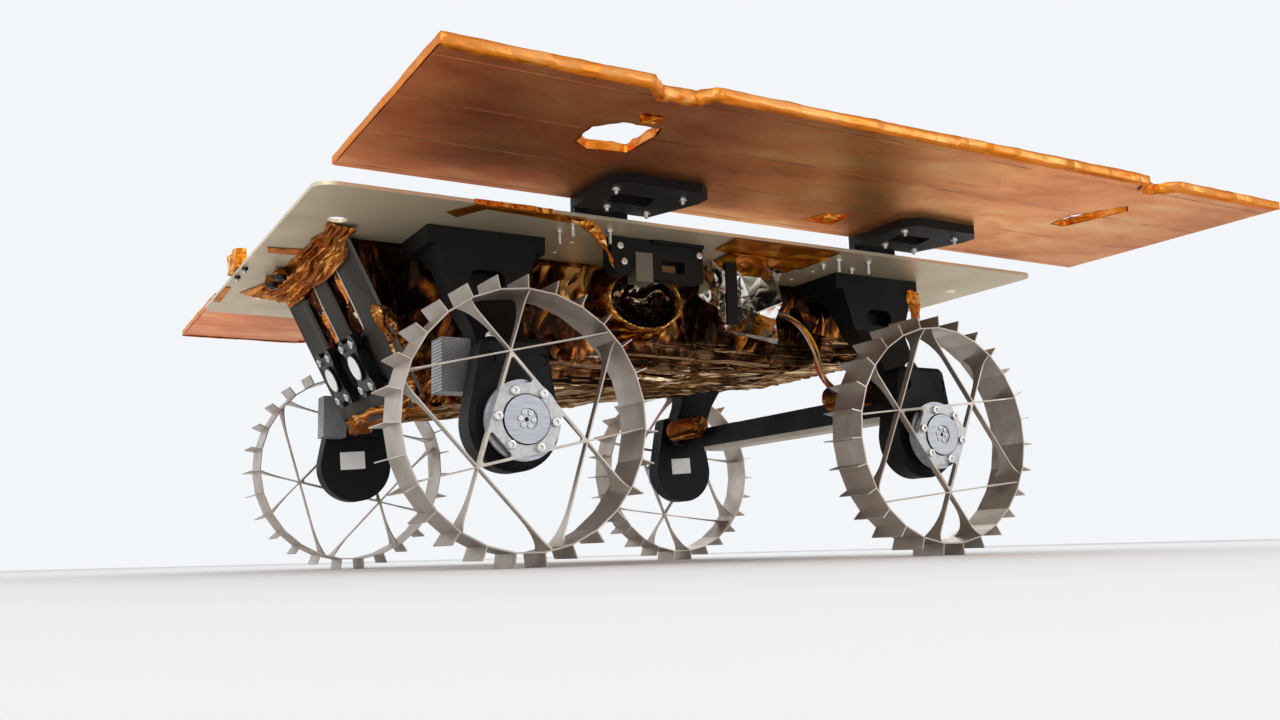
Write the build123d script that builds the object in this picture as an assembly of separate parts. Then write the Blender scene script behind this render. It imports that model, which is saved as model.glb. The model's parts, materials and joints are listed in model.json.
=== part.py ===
from build123d import *
import math
import os

# A four-wheeled planetary rover prototype, the size of a carry-on case, in millimetres.
# X points forward, Y to the rover's left and Z up. Places are measured from the floor, from the
# middle of the wheelbase and from the centre line. The last lines shift the whole rover along X,
# so that its origin is the centre of its box, on the floor.

# Wheel: a thin faceted band with radial grousers, carried by six straight ribbons
rim_radius = 100.0
rim_width = 40.0
rim_wall = 1.2
grouser_count = 27
grouser_height = 10.5
grouser_wall = 1.0
node_radius = 53.1
spoke_inset = 5.5
ribbon_wall = 1.2
ribbon_depth = 6.0
flare_outer = 14.0
flare_inner = 36.0
hub_plate_wall = 3.0
cutout_base = 26.8
cutout_web = 1.6
cutout_fillet = 2.0

# Hub: boss through the wheel's plate, spacer between the ribbons, flange behind them, shaft
spacer_clearance = 0.25
flange_radius = 31.0
flange_wall = 3.5
boss_radius = 19.0
boss_gap = 0.7
boss_proud = 1.2
boss_recess_radius = 8.6
boss_recess = 1.4
collar_radius = 14.0
shaft_radius = 8.0
shaft_seat = 12.0
running_clearance = 0.06

# Wheel places
wheelbase = 416.0
track = 512.0

# Drive housing: a teardrop with its round end about the wheel's axis
housing_radius = 38.0
housing_height = 66.0
housing_top_width = 56.0
housing_corner = 8.0
housing_wall = 25.0
housing_depth = 24.0
housing_bevel = 4.0
counterbore_radius = 5.0
counterbore_depth = 2.0
counterbore_spread = 43.0
counterbore_drop = 17.0

# Top plate
plate_front = 366.0
plate_rear = 358.0
plate_half_width = 241.5
plate_underside = 275.5
plate_wall = 3.0
plate_corner = 16.0
mount_spread_x = 656.0
mount_spread_y = 310.0
mount_hole_radius = 8.0
screw_hole_radius = 2.2
# Screw holes left empty near each hinge, as places in X and Y
screw_holes = [(128, 169), (127, 132), (-134, 167), (-134, 132)]

# Legs: a flange under the plate, an arm that tapers and leans out to the drive, and a gusset between
leg_inner = 108.5
leg_outer = 174.0
flange_length = 104.0
flange_height = 15.0
arm_top_width = 88.0
arm_waist_width = 72.0
arm_foot_width = 44.0
arm_wall = 24.0
# Heights of the arm above the wheel's axis
arm_shoulder = 110.0
arm_waist = 126.0
arm_throat = 78.0
arm_knee = 62.0
arm_foot = 30.0
pocket_length = 31.0
pocket_height = 16.0
pocket_depth = 14.0
pocket_lift = 124.0
foot_screw_x = 9.0
foot_screw_lift = 71.0
foot_bore_radius = 5.0
foot_bore_depth = 10.0

# Body box with a sloping front and a rising floor
body_half_width = 108.0
body_rear = 265.0
body_front_bottom = 242.0
body_front_top = 312.0
body_bottom_front = 138.0
body_bottom_rear = 204.0
body_edge_fillet = 5.0
port_length = 77.0
port_height = 57.0
port_wall = 3.0
port_reach = 36.0
port_x = 41.0
port_drop = 38.0

# Camera bracket on the sloping front
bracket_half_width = 116.0
bracket_wall = 3.0
eye_spacing = 78.0
window_length = 66.0
window_width = 46.0
window_corner = 11.0
window_top = 12.0
window_pocket = 6.0
camera_centre = 103.0
camera_width = 46.0
camera_height = 56.0
camera_depth = 8.0
camera_lobe = 8.0
camera_waist = 5.0
standoff_height = 6.0
standoff_radius = 3.0
lens_radius = 13.0
lens_proud = 2.5

# Rear axle beam, its strip and the motors
beam_length_x = 26.0
beam_height = 22.0
beam_bottom = 134.0
strip_wall = 5.0
strip_right = 140.0
strip_left = 190.0
motor_radius = 13.0
motor_length = 58.0
motor_z = 157.0
block_length = 24.0
block_width = 24.0
block_bottom = 137.0
block_height = 43.0

# Units hung from the plate's left edge
connector_x = (17.0, 69.0)
connector_y = (188.0, 204.0)
connector_drop = 33.5
connector_window = (36.0, 59.0)
connector_window_drop = (17.0, 27.5)
connector_rib = 3.0
lug_x = (86.0, 108.0)
lug_drop = 33.0
lug_bridge_drop = 12.0
terminal_x = (69.3, 85.7)
terminal_y = (190.0, 206.0)
terminal_drop = (12.5, 38.0)
strap_x = (-38.0, -26.0)
strap_y = 173.0
strap_wall = 3.0
strap_drop = 62.0
foil_x = (-97.0, -15.0)
foil_y = (140.0, 171.0)
foil_drop = 70.0
foil_taper = 14.0

# Wire harness from the body's side to the left rear motor, as points of its route
harness_radius = 3.0
harness_gap = 0.3
harness_end_lift = 25.0
harness_end_run = 13.0
harness_exit = (-101, 240)
harness_route = [
    (-102, 122, 240), (-108, 137, 238), (-121, 147, 231), (-134, 151, 219), (-142, 152, 204),
    (-146, 151, 190), (-150.5, 150, 178),
]

# Sensor block on the plate's front edge
sensor_overhang = 4.0
sensor_length = 11.0
sensor_y = (-86.0, -45.0)
sensor_height = 20.0
sensor_foot_end = -18.0
sensor_foot_wall = 3.0

# Solar panels
panel_front = 354.0
panel_rear = 409.0
panel_inner = 241.5
panel_outer = 469.0
panel_gap = 11.5
panel_wall = 6.0
cell_wall = 0.8
cell_margin = 6.0

# Panel hinges: a base on the plate and a leaf under the panel, turning on the base's pin
hinge_places = (136.0, -150.0)
hinge_y = 236.0
barrel_radius = 4.0
pin_radius = 2.0
base_length = 48.0
base_inner = 188.0
base_wall = 3.0
knuckle_length = 10.0
knuckle_gap = 0.5
leaf_offset = -14.0
leaf_wall = 8.0
leaf_start = 243.0
leaf_fillet = 2.0
leaf_root = 3.0
# Leaf and its opening, as corners in X from the hinge's middle and Y from the leaf's inner edge
leaf_outline = [(42, 0), (42, 65), (30, 75), (-34, 75), (-46, 63), (-46, 49), (-28, 0)]
leaf_opening = [(28, 47), (24, 25), (-12, 25), (-8, 47)]

# Derived sizes
pitch = 360.0 / grouser_count
tip_radius = rim_radius + grouser_height
half_pitch = math.radians(pitch / 2)
wheel_z = tip_radius * math.cos(half_pitch) + grouser_wall / 2 * math.sin(half_pitch)
plate_top = plate_underside + plate_wall
panel_underside = plate_top + panel_gap
panel_top = panel_underside + panel_wall
hinge_z = panel_underside + panel_wall / 2
spacer_radius = node_radius / 2 - ribbon_wall / 2 - spacer_clearance
spacer_start = spoke_inset + hub_plate_wall
flange_start = spoke_inset + ribbon_depth
flange_end = flange_start + flange_wall
housing_outer = track / 2 - housing_depth
housing_inner = housing_outer - housing_wall
arm_outer = housing_inner
arm_inner = arm_outer - arm_wall


def polar(radius, angle):
    """Point in a wheel's plane, its angle measured from forward towards up."""
    return (radius * math.cos(math.radians(angle)), radius * math.sin(math.radians(angle)))


def disc(radius, start, end):
    """Round solid about a wheel's axis, between two depths inboard of the rim's outer edge."""
    return extrude(Plane.XZ.offset(start) * Circle(radius), end - start)


def band_prism(radius, first_angle):
    """Many-sided prism with one corner at each grouser."""
    corners = [polar(radius, first_angle + i * pitch) for i in range(grouser_count)]
    return extrude(Plane.XZ * Polygon(*corners, align=None), rim_width)


def grouser(angle):
    root = rim_radius - rim_wall * 0.7
    blade = Box(tip_radius - root, rim_width, grouser_wall)
    return Rot(0, -angle, 0) * Pos((tip_radius + root) / 2, -rim_width / 2, 0) * blade


def ribbon(angle, distance):
    """Straight chord of the wheel: a strip on edge that flares out to the rim's full width."""
    reach = math.sqrt(rim_radius**2 - distance**2)
    near = -spoke_inset
    far = -spoke_inset - ribbon_depth
    half = [
        Line((0, near), (reach - flare_outer, near)),
        TangentArc((reach - flare_outer, near), (reach, 0), tangent=(1, 0)),
        Line((reach, 0), (reach + ribbon_depth, 0)),
        Line((reach + ribbon_depth, 0), (reach + ribbon_depth, -rim_width)),
        Line((reach + ribbon_depth, -rim_width), (reach, -rim_width)),
        TangentArc((reach - flare_inner, far), (reach, -rim_width), tangent=(1, 0)),
        Line((reach - flare_inner, far), (0, far)),
        Line((0, far), (0, near)),
    ]
    half_face = make_face(half)
    outline = half_face + mirror(half_face, about=Plane.YZ)
    x, z = polar(distance, angle)
    along = polar(1, angle - 90)
    place = Plane(origin=(x, 0, z), x_dir=(along[0], 0, along[1]), z_dir=(x, 0, z))
    return extrude(place * outline, ribbon_wall / 2, both=True)


def hub_plate(angle):
    """Triangular plate between the three inner ribbons, with a cut-out at each corner."""
    corners = [polar(node_radius, angle + 120 * i) for i in range(3)]
    apex = node_radius - cutout_web / math.sin(math.radians(30))
    half_base = (apex - cutout_base) * math.tan(math.radians(30))
    cutout = Polygon((apex, 0), (cutout_base, half_base), (cutout_base, -half_base), align=None)
    cutout = fillet(cutout.vertices(), cutout_fillet)
    face = Polygon(*corners, align=None) - Circle(boss_radius + boss_gap)
    for i in range(3):
        face -= Rot(0, 0, angle + 120 * i) * cutout
    return extrude(Plane.XZ.offset(spoke_inset) * face, hub_plate_wall)


def wheel(angle):
    """Left wheel about its own axis, its rim's outer edge at Y = 0, one ribbon node at the angle."""
    spokes = ribbon(angle, node_radius)
    for i in range(3):
        if i > 0:
            spokes += ribbon(angle + 120 * i, node_radius)
        spokes += ribbon(angle + 60 + 120 * i, node_radius / 2)
    spokes = spokes & band_prism(rim_radius - rim_wall / 2, angle)
    band = band_prism(rim_radius, angle) - band_prism(rim_radius - rim_wall, angle)
    blades = [grouser(angle + i * pitch) for i in range(grouser_count)]
    return band + blades + spokes + hub_plate(angle)


def hub():
    flange = disc(flange_radius, flange_start, flange_end)
    spacer = disc(spacer_radius, spacer_start, flange_start)
    boss = disc(boss_radius, spoke_inset - boss_proud, spacer_start)
    recess = disc(boss_recess_radius, spoke_inset - boss_proud, spoke_inset - boss_proud + boss_recess)
    collar = disc(collar_radius, flange_end, housing_depth - 1)
    shaft = disc(shaft_radius, housing_depth - 1, housing_depth + shaft_seat)
    return flange + spacer + boss - recess + collar + shaft


def drive_housing():
    """Left drive about the wheel's axis: a moulded teardrop with a bored, bevelled face."""
    corner_x = housing_top_width / 2 - housing_corner
    corner_z = housing_height - housing_corner
    rounds = Circle(housing_radius).edges()
    for side in (-1, 1):
        rounds += (Pos(side * corner_x, corner_z) * Circle(housing_corner)).edges()
    outline = make_hull(rounds)
    body = extrude(Plane.XZ.offset(housing_depth) * outline, housing_wall)
    body = chamfer(body.faces().sort_by(Axis.Y)[-1].edges(), housing_bevel)
    body -= disc(shaft_radius + running_clearance, housing_depth, housing_depth + shaft_seat + 0.5)
    for side in (-1, 1):
        bore = disc(counterbore_radius, housing_depth, housing_depth + counterbore_depth)
        body -= Pos(side * counterbore_spread / 2, 0, housing_height - counterbore_drop) * bore
    return body


def leg(end):
    """Left leg about X = 0, for the front (1) or the rear (-1): flange, leaning arm and gusset."""
    flange_bottom = plate_underside - flange_height
    shoulder, waist, throat, knee, foot = (
        wheel_z + lift for lift in (arm_shoulder, arm_waist, arm_throat, arm_knee, arm_foot)
    )
    arm_back = leg_outer - arm_wall
    side = make_face([
        Line((leg_inner, plate_underside), (leg_outer, plate_underside)),
        Line((leg_outer, plate_underside), (leg_outer, shoulder)),
        Line((leg_outer, shoulder), (arm_outer, knee)),
        Line((arm_outer, knee), (arm_outer, foot)),
        Line((arm_outer, foot), (arm_inner, foot)),
        Line((arm_inner, foot), (arm_inner, knee)),
        Line((arm_inner, knee), (arm_back, shoulder)),
        TangentArc((arm_back, shoulder), (leg_inner, flange_bottom), tangent=(0, 1)),
        Line((leg_inner, flange_bottom), (leg_inner, plate_underside)),
    ])
    half_flange, half_top = flange_length / 2, arm_top_width / 2
    half_waist, half_foot = arm_waist_width / 2, arm_foot_width / 2
    half_front = [
        Line((0, plate_underside), (half_flange, plate_underside)),
        Line((half_flange, plate_underside), (half_flange, flange_bottom)),
        Line((half_flange, flange_bottom), (half_top, flange_bottom)),
        ThreePointArc((half_top, flange_bottom), (half_waist, waist), (half_foot, throat)),
        Line((half_foot, throat), (half_foot, foot)),
        Line((half_foot, foot), (0, foot)),
        Line((0, foot), (0, plate_underside)),
    ]
    half_face = make_face(half_front)
    front = half_face + mirror(half_face, about=Plane.YZ)
    body = extrude(Plane.YZ * side, half_flange, both=True) & extrude(Plane.XZ * front, -arm_outer)
    pocket = Pos(0, leg_outer, wheel_z + pocket_lift)
    body -= pocket * extrude(Plane.XZ * SlotOverall(pocket_length, pocket_height), pocket_depth)
    bore = Pos(end * foot_screw_x, arm_outer, wheel_z + foot_screw_lift)
    return body - bore * extrude(Plane.XZ * Circle(foot_bore_radius), foot_bore_depth)


def top_plate():
    length = plate_front + plate_rear
    face = Pos((plate_front - plate_rear) / 2, 0) * Rectangle(length, 2 * plate_half_width)
    face = fillet(face.vertices(), plate_corner)
    for side in (-1, 1):
        for end in (-1, 1):
            face -= Pos(end * mount_spread_x / 2, side * mount_spread_y / 2) * Circle(mount_hole_radius)
        for x, y in screw_holes:
            face -= Pos(x, side * y) * Circle(screw_hole_radius)
    return extrude(Pos(0, 0, plate_underside) * face, plate_wall)


def slope(distance, depth):
    """Point on the sloping front: distance down the slope and depth behind the bracket's face."""
    fall = plate_underside - body_bottom_front
    back = body_front_top - body_front_bottom
    length = math.hypot(fall, back)
    ux, uz = -back / length, -fall / length
    return (body_front_top + distance * ux + depth * uz, plate_underside + distance * uz - depth * ux)


def slope_plane(distance, y, depth=0.0):
    """Plane on the sloping front: its X axis runs down the slope, its normal faces forward."""
    x, z = slope(distance, depth)
    x_down, z_down = slope(distance + 1, depth)
    return Plane(origin=(x, y, z), x_dir=(x_down - x, 0, z_down - z), z_dir=(z - z_down, 0, x_down - x))


def slope_length():
    return math.hypot(plate_underside - body_bottom_front, body_front_top - body_front_bottom)


def window(y, depth):
    middle = slope_plane(window_top + window_length / 2, y)
    return extrude(middle * RectangleRounded(window_length, window_width, window_corner), -depth)


def body_box():
    lean = (body_front_top - body_front_bottom) / (plate_underside - body_bottom_front)
    top_x = body_front_top - bracket_wall * math.hypot(1, lean)
    outline = Polygon(
        (top_x, plate_underside), slope(slope_length(), bracket_wall),
        (-body_rear, body_bottom_rear), (-body_rear, plate_underside), align=None,
    )
    body = extrude(Plane.XZ * outline, body_half_width, both=True)
    low = body.faces().sort_by(Axis.Z)[0]
    body = fillet(low.edges().filter_by(Axis.Y, reverse=True), body_edge_fillet)
    for side in (-1, 1):
        body -= window(side * eye_spacing / 2, bracket_wall + window_pocket)
    return body


def side_port():
    """Oval collar on the body's left side, closed at its back by the body."""
    ring = Ellipse(port_length / 2, port_height / 2)
    ring -= Ellipse(port_length / 2 - port_wall, port_height / 2 - port_wall)
    place = Pos(port_x, body_half_width + port_reach, plate_underside - port_drop)
    return place * extrude(Plane.XZ * ring, port_reach)


def camera_bracket():
    length = slope_length()
    sheet = extrude(slope_plane(length / 2, 0) * Rectangle(length, 2 * bracket_half_width), -bracket_wall)
    for side in (-1, 1):
        sheet -= window(side * eye_spacing / 2, 2 * bracket_wall)
    below = block((0, plate_front), (-plate_half_width, plate_half_width), (0, plate_underside))
    return sheet & below


def camera(y):
    """Flat camera module with a lobe at each corner, on four stand-offs, with a round lens cover."""
    place = slope_plane(camera_centre, y)
    outline = Rectangle(camera_height - 2 * camera_waist, camera_width - 2 * camera_waist)
    lobe_places = [(i * (camera_height / 2 - camera_lobe), j * (camera_width / 2 - camera_lobe))
                   for i in (-1, 1) for j in (-1, 1)]
    for u, v in lobe_places:
        outline += Pos(u, v) * Circle(camera_lobe)
    module = extrude(place * Pos(0, 0, standoff_height) * outline, camera_depth)
    for u, v in lobe_places:
        module += extrude(place * Pos(u, v) * Circle(standoff_radius), standoff_height)
    lens = Pos(0, 0, standoff_height + camera_depth) * Circle(lens_radius)
    return module + extrude(place * lens, lens_proud)


def block(x, y, z):
    """Box between its two limits along each axis."""
    centre = Pos((x[0] + x[1]) / 2, (y[0] + y[1]) / 2, (z[0] + z[1]) / 2)
    return centre * Box(x[1] - x[0], y[1] - y[0], z[1] - z[0])


def axle_beam():
    middle = -wheelbase / 2
    return block((middle - beam_length_x / 2, middle + beam_length_x / 2), (-arm_inner, arm_inner),
                 (beam_bottom, beam_bottom + beam_height))


def beam_strip():
    middle = -wheelbase / 2
    half = beam_length_x / 2 - 2
    heights = (beam_bottom - strip_wall, beam_bottom)
    return block((middle - half, middle + half), (-strip_right, strip_left), heights)


def rear_motor():
    x = -wheelbase / 2 + beam_length_x / 2 + motor_radius
    return Pos(x, arm_inner, motor_z) * extrude(Plane.XZ * Circle(motor_radius), motor_length)


def front_block():
    x = wheelbase / 2 + arm_foot_width / 2
    y = arm_inner + 9
    return block((x, x + block_length), (y - block_width, y), (block_bottom, block_bottom + block_height))


def connector_bracket():
    """Black bracket under the plate's edge: a housing with a window, a bridge and a round-ended lug."""
    housing = block(connector_x, connector_y, (plate_underside - connector_drop, plate_underside))
    drop = connector_window_drop
    housing -= block(connector_window, (connector_y[0] - 1, connector_y[1] + 1),
                     (plate_underside - drop[1], plate_underside - drop[0]))
    rib = block(connector_x, (connector_y[1], connector_y[1] + connector_rib),
                (plate_underside - connector_rib, plate_underside))
    bridge_heights = (plate_underside - lug_bridge_drop, plate_underside)
    bridge = block((connector_x[1], lug_x[1]), connector_y, bridge_heights)
    radius = (lug_x[1] - lug_x[0]) / 2
    round_end = Pos(lug_x[0] + radius, connector_y[1], plate_underside - lug_drop + radius)
    lug = round_end * extrude(Plane.XZ * Circle(radius), connector_y[1] - connector_y[0])
    lug += block(lug_x, connector_y, (plate_underside - lug_drop + radius, plate_underside))
    return housing + rib + bridge + lug


def connector_terminal():
    heights = (plate_underside - terminal_drop[1], plate_underside - terminal_drop[0])
    return block(terminal_x, terminal_y, heights)


def strap_bar():
    return block(strap_x, (strap_y, strap_y + strap_wall), (plate_underside - strap_drop, plate_underside))


def foil_unit():
    """Soft wrapped unit: a bag that narrows downwards."""
    x, y = foil_x, foil_y
    top = Pos((x[0] + x[1]) / 2, (y[0] + y[1]) / 2, plate_underside) * Rectangle(x[1] - x[0], y[1] - y[0])
    low_size = (x[1] - x[0] - 2 * foil_taper, y[1] - y[0] - foil_taper)
    low = Pos((x[0] + x[1]) / 2, (y[0] + y[1]) / 2, plate_underside - foil_drop) * Rectangle(*low_size)
    return loft([top, low])


def harness():
    """Tube along straight runs joined by tangent arcs, each as large as its two runs allow."""
    exit_x, exit_z = harness_exit
    points = [Vector(exit_x, body_half_width + harness_gap, exit_z)]
    points += [Vector(*point) for point in harness_route]
    motor_x = -wheelbase / 2 + beam_length_x / 2 + motor_radius
    for reach in (harness_end_run, 0):
        x, z = polar(motor_radius + harness_gap + reach, harness_end_lift)
        points.append(Vector(motor_x + x, points[-1].Y, motor_z + z))
    radii = []
    for before, corner, after in zip(points, points[1:], points[2:]):
        turn = math.radians((corner - before).get_angle(after - corner))
        shorter = min((corner - before).length, (after - corner).length)
        radii.append(0.45 * shorter / math.tan(turn / 2))
    route = FilletPolyline(*points, radius=radii)
    section = Plane(origin=route @ 0, z_dir=route % 0) * Circle(harness_radius)
    print("harness length", round(route.length, 1), "radii", [round(radius) for radius in radii])
    return sweep(section, path=route)


def sensor_block():
    """Block that overhangs the plate's front edge a little, with a foot for its screws beside it."""
    front = plate_front + sensor_overhang
    back = front - sensor_length
    upright = block((back, front), sensor_y, (plate_top, plate_top + sensor_height))
    foot_heights = (plate_top, plate_top + sensor_foot_wall)
    return upright + block((back, plate_front), (sensor_y[0], sensor_foot_end), foot_heights)


# Cut-outs of the left panel, as corners in X and Y
panel_cuts = {
    "hole": [(219, 360), (222, 390), (206, 407), (176, 407), (172, 392), (174, 354), (205, 349)],
    "window": [(-44, 268), (-50, 294), (-76, 299), (-78, 266)],
    "slot": [(-258, 350), (-252, 378), (-276, 419), (-290, 408), (-277, 350)],
    "front notch": [(219, 471), (205, 456), (180, 457), (171, 471)],
    "rear notch": [(-238, 471), (-246, 457), (-262, 456), (-279, 471)],
}


def panel_face(margin):
    """Outline of a panel, drawn in by a margin all round and about its cut-outs."""
    length = panel_front + panel_rear - 2 * margin
    width = panel_outer - panel_inner - 2 * margin
    middle = Pos((panel_front - panel_rear) / 2, (panel_outer + panel_inner) / 2)
    face = middle * Rectangle(length, width)
    for corners in panel_cuts.values():
        cut = Polygon(*corners, align=None)
        face -= offset(cut, margin) if margin else cut
    return face


def panel():
    return extrude(Pos(0, 0, panel_underside) * panel_face(0), panel_wall)


def cells():
    return extrude(Pos(0, 0, panel_top) * panel_face(cell_margin), cell_wall)


def along_x(outline, x_start, x_end):
    """Solid of an outline in Y and Z, between two places along X."""
    return Pos(x_start, 0, 0) * extrude(Plane.YZ * outline, x_end - x_start)


def hinge_base(x):
    """Hinge base on the plate's edge: foot, two knuckles and the pin between them."""
    half = base_length / 2
    foot_heights = (plate_top, plate_top + base_wall)
    foot = block((x - half, x + half), (base_inner, hinge_y + barrel_radius), foot_heights)
    post = Polygon((hinge_y - barrel_radius, plate_top), (hinge_y + barrel_radius, plate_top),
                   (hinge_y + barrel_radius, hinge_z), (hinge_y - barrel_radius, hinge_z), align=None)
    knuckle = post + Pos(hinge_y, hinge_z) * Circle(barrel_radius)
    pin = Pos(hinge_y, hinge_z) * Circle(pin_radius)
    base = foot + along_x(knuckle, x - half, x - half + knuckle_length)
    base += along_x(knuckle, x + half - knuckle_length, x + half)
    return base + along_x(pin, x - half, x + half)


def hinge_leaf(x):
    """Hinge leaf bolted under the panel, with one knuckle round the base's pin."""
    low = panel_underside - leaf_wall
    opening = Polygon(*leaf_opening, align=None)
    face = Polygon(*leaf_outline, align=None) - fillet(opening.vertices(), leaf_fillet)
    leaf = extrude(Pos(x + leaf_offset, leaf_start, low) * face, leaf_wall)
    half = base_length / 2 - knuckle_length - knuckle_gap
    arm = Polygon(
        (hinge_y - barrel_radius, hinge_z), (hinge_y - barrel_radius, hinge_z - barrel_radius),
        (hinge_y + pin_radius, low), (leaf_start + leaf_root, low),
        (leaf_start + leaf_root, panel_underside), (hinge_y + barrel_radius, panel_underside),
        (hinge_y + barrel_radius, hinge_z), align=None,
    )
    arm += Pos(hinge_y, hinge_z) * Circle(barrel_radius)
    arm -= Pos(hinge_y, hinge_z) * Circle(pin_radius + running_clearance)
    return leaf + along_x(arm, x - half, x + half)


def right(shape):
    """The same piece on the rover's right side."""
    return mirror(shape, about=Plane.XZ)


# Whole rover: every node's name and solid
nodes = {
    "top_plate": top_plate(),
    "body_box": body_box(),
    "side_port": side_port(),
    "camera_bracket": camera_bracket(),
    "camera_left": camera(eye_spacing / 2),
    "camera_right": camera(-eye_spacing / 2),
    "rear_axle_beam": axle_beam(),
    "beam_strip": beam_strip(),
    "rear_motor_left": rear_motor(),
    "rear_motor_right": right(rear_motor()),
    "front_block_left": front_block(),
    "front_block_right": right(front_block()),
    "connector_bracket": connector_bracket(),
    "connector_terminal": connector_terminal(),
    "strap_bar": strap_bar(),
    "foil_unit": foil_unit(),
    "sensor_block": sensor_block(),
    "harness": harness(),
}

# Wheel places: name, end (1 front, -1 rear), side (1 left, -1 right), steps of a node from the floor
wheel_table = (
    ("front_left", 1, 1, 12),
    ("front_right", 1, -1, 5),
    ("rear_left", -1, 1, 8),
    ("rear_right", -1, -1, 0),
)
leg_shapes = {1: leg(1), -1: leg(-1)}
housing_shape = drive_housing()
hub_shape = hub()
for name, end, side, steps in wheel_table:
    rim_place = Pos(end * wheelbase / 2, track / 2, wheel_z)
    pieces = {
        "leg_" + name: Pos(end * wheelbase / 2, 0, 0) * leg_shapes[end],
        "drive_" + name: rim_place * housing_shape,
        "wheel_" + name: rim_place * wheel(-90 + pitch * (steps + 0.5)),
        "hub_" + name: rim_place * hub_shape,
    }
    for node, shape in pieces.items():
        nodes[node] = shape if side > 0 else right(shape)

for side_name, side in (("left", 1), ("right", -1)):
    pieces = {"panel_" + side_name: panel(), "cells_" + side_name: cells()}
    for end_name, x in zip(("front", "rear"), hinge_places):
        pieces["hinge_base_" + side_name + "_" + end_name] = hinge_base(x)
        pieces["hinge_leaf_" + side_name + "_" + end_name] = hinge_leaf(x)
    for node, shape in pieces.items():
        nodes[node] = shape if side > 0 else right(shape)

# Origin at the centre of the whole box
rover_front = max(plate_front + sensor_overhang, panel_front)
rover_rear = max(plate_rear, panel_rear)
shift = (rover_rear - rover_front) / 2
os.makedirs("parts", exist_ok=True)
for node, shape in nodes.items():
    export_step(Pos(shift, 0, 0) * shape, "parts/" + node + ".step")
print("shift", shift, "wheel centre height", round(wheel_z, 4), "hinge height", hinge_z)
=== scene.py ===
# %% [markdown]
# # A planetary rover prototype
#
# The real thing is a test rover the size of a carry-on case: four bare metal wheels with grousers,
# black moulded legs and drives, a body wrapped in amber film under a plain sheet deck, and two solar
# panels with copper coloured film below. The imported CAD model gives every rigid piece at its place.
# This notebook gives each piece its finish and adds what a workshop would add last: film, foil,
# tape, wires and screws.

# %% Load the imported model
import json
import math
import bpy
import bmesh
from mathutils import Matrix, Vector, noise


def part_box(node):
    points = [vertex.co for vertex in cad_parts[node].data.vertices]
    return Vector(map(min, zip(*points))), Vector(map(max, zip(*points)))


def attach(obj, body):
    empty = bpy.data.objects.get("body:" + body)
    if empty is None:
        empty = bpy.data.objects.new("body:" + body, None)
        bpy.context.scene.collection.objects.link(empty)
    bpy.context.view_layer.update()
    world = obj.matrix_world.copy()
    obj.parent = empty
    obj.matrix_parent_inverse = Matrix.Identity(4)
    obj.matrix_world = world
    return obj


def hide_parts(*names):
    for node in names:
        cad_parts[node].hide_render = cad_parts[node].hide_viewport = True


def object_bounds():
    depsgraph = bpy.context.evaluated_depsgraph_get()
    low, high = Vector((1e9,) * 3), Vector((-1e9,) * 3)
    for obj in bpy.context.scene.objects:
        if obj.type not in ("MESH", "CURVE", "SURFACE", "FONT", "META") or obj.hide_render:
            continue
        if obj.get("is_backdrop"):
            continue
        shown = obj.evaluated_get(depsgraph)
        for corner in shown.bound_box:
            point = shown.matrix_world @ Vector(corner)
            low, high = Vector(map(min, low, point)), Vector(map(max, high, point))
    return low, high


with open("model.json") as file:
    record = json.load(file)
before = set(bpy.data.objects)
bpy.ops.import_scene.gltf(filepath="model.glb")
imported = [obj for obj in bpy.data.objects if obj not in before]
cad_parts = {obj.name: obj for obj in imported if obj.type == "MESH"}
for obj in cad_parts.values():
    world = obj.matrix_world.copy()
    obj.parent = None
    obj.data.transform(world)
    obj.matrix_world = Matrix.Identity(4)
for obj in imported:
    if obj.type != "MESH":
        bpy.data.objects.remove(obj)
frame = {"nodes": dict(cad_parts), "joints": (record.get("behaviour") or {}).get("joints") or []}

bpy.context.scene.view_settings.view_transform = "Standard"
noise.seed_set(5)  # noise_vector would follow the clock without it
cad_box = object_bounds()
nodes = frame["nodes"]
wheel_joints = [joint for joint in frame["joints"] if joint["name"].startswith("wheel")]
wheel_xs = [joint["pos_m"][0] for joint in wheel_joints]
middle_x = (max(wheel_xs) + min(wheel_xs)) / 2
half_base = (max(wheel_xs) - min(wheel_xs)) / 2
axle_height = wheel_joints[0]["pos_m"][2]
# Sides and ends with their signs along Y and X
sides = (("left", 1), ("right", -1))
ends = (("front", 1), ("rear", -1))
print("nodes loaded:", len(nodes), "wheelbase", round(2 * half_base, 4), "axle height", round(axle_height, 4))

# %% [markdown]
# ## Camera, floor and light
#
# The photograph looks up at the rover, so the camera lies on the floor beside its left front wheel.
# A wide soft lamp above and weaker ones round the rover stand for the open sky and the pale ground.

# %% Camera
camera_place = (middle_x + 0.5618, 1.0521, 0.008)
camera_turn = (99.42, 1.42, 150.80)
lens_mm = 32.92
sensor_mm = 36

bpy.ops.object.camera_add(location=camera_place, rotation=[math.radians(angle) for angle in camera_turn])
camera = bpy.context.object
camera.name = "camera"
camera.data.lens = lens_mm
camera.data.sensor_width = sensor_mm
camera.data.clip_start = 0.01
bpy.context.scene.camera = camera


# %% Helpers for materials
# The helpers add their nodes to the tree that was begun last
trees = []


def new_material(name):
    material = bpy.data.materials.new(name)
    material.use_nodes = True
    trees.append(material.node_tree)
    return material


def add_node(kind, inputs=None, **settings):
    """A shader node with its settings, and its sockets set or linked."""
    node = trees[-1].nodes.new("ShaderNode" + kind)
    for name, value in settings.items():
        setattr(node, name, value)
    for name, value in (inputs or {}).items():
        plug(value, node.inputs[name])
    return node


def plug(value, socket):
    """Links an output to a socket, or sets the socket to a plain value."""
    if isinstance(value, bpy.types.NodeSocket):
        trees[-1].links.new(value, socket)
    else:
        socket.default_value = value


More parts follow.
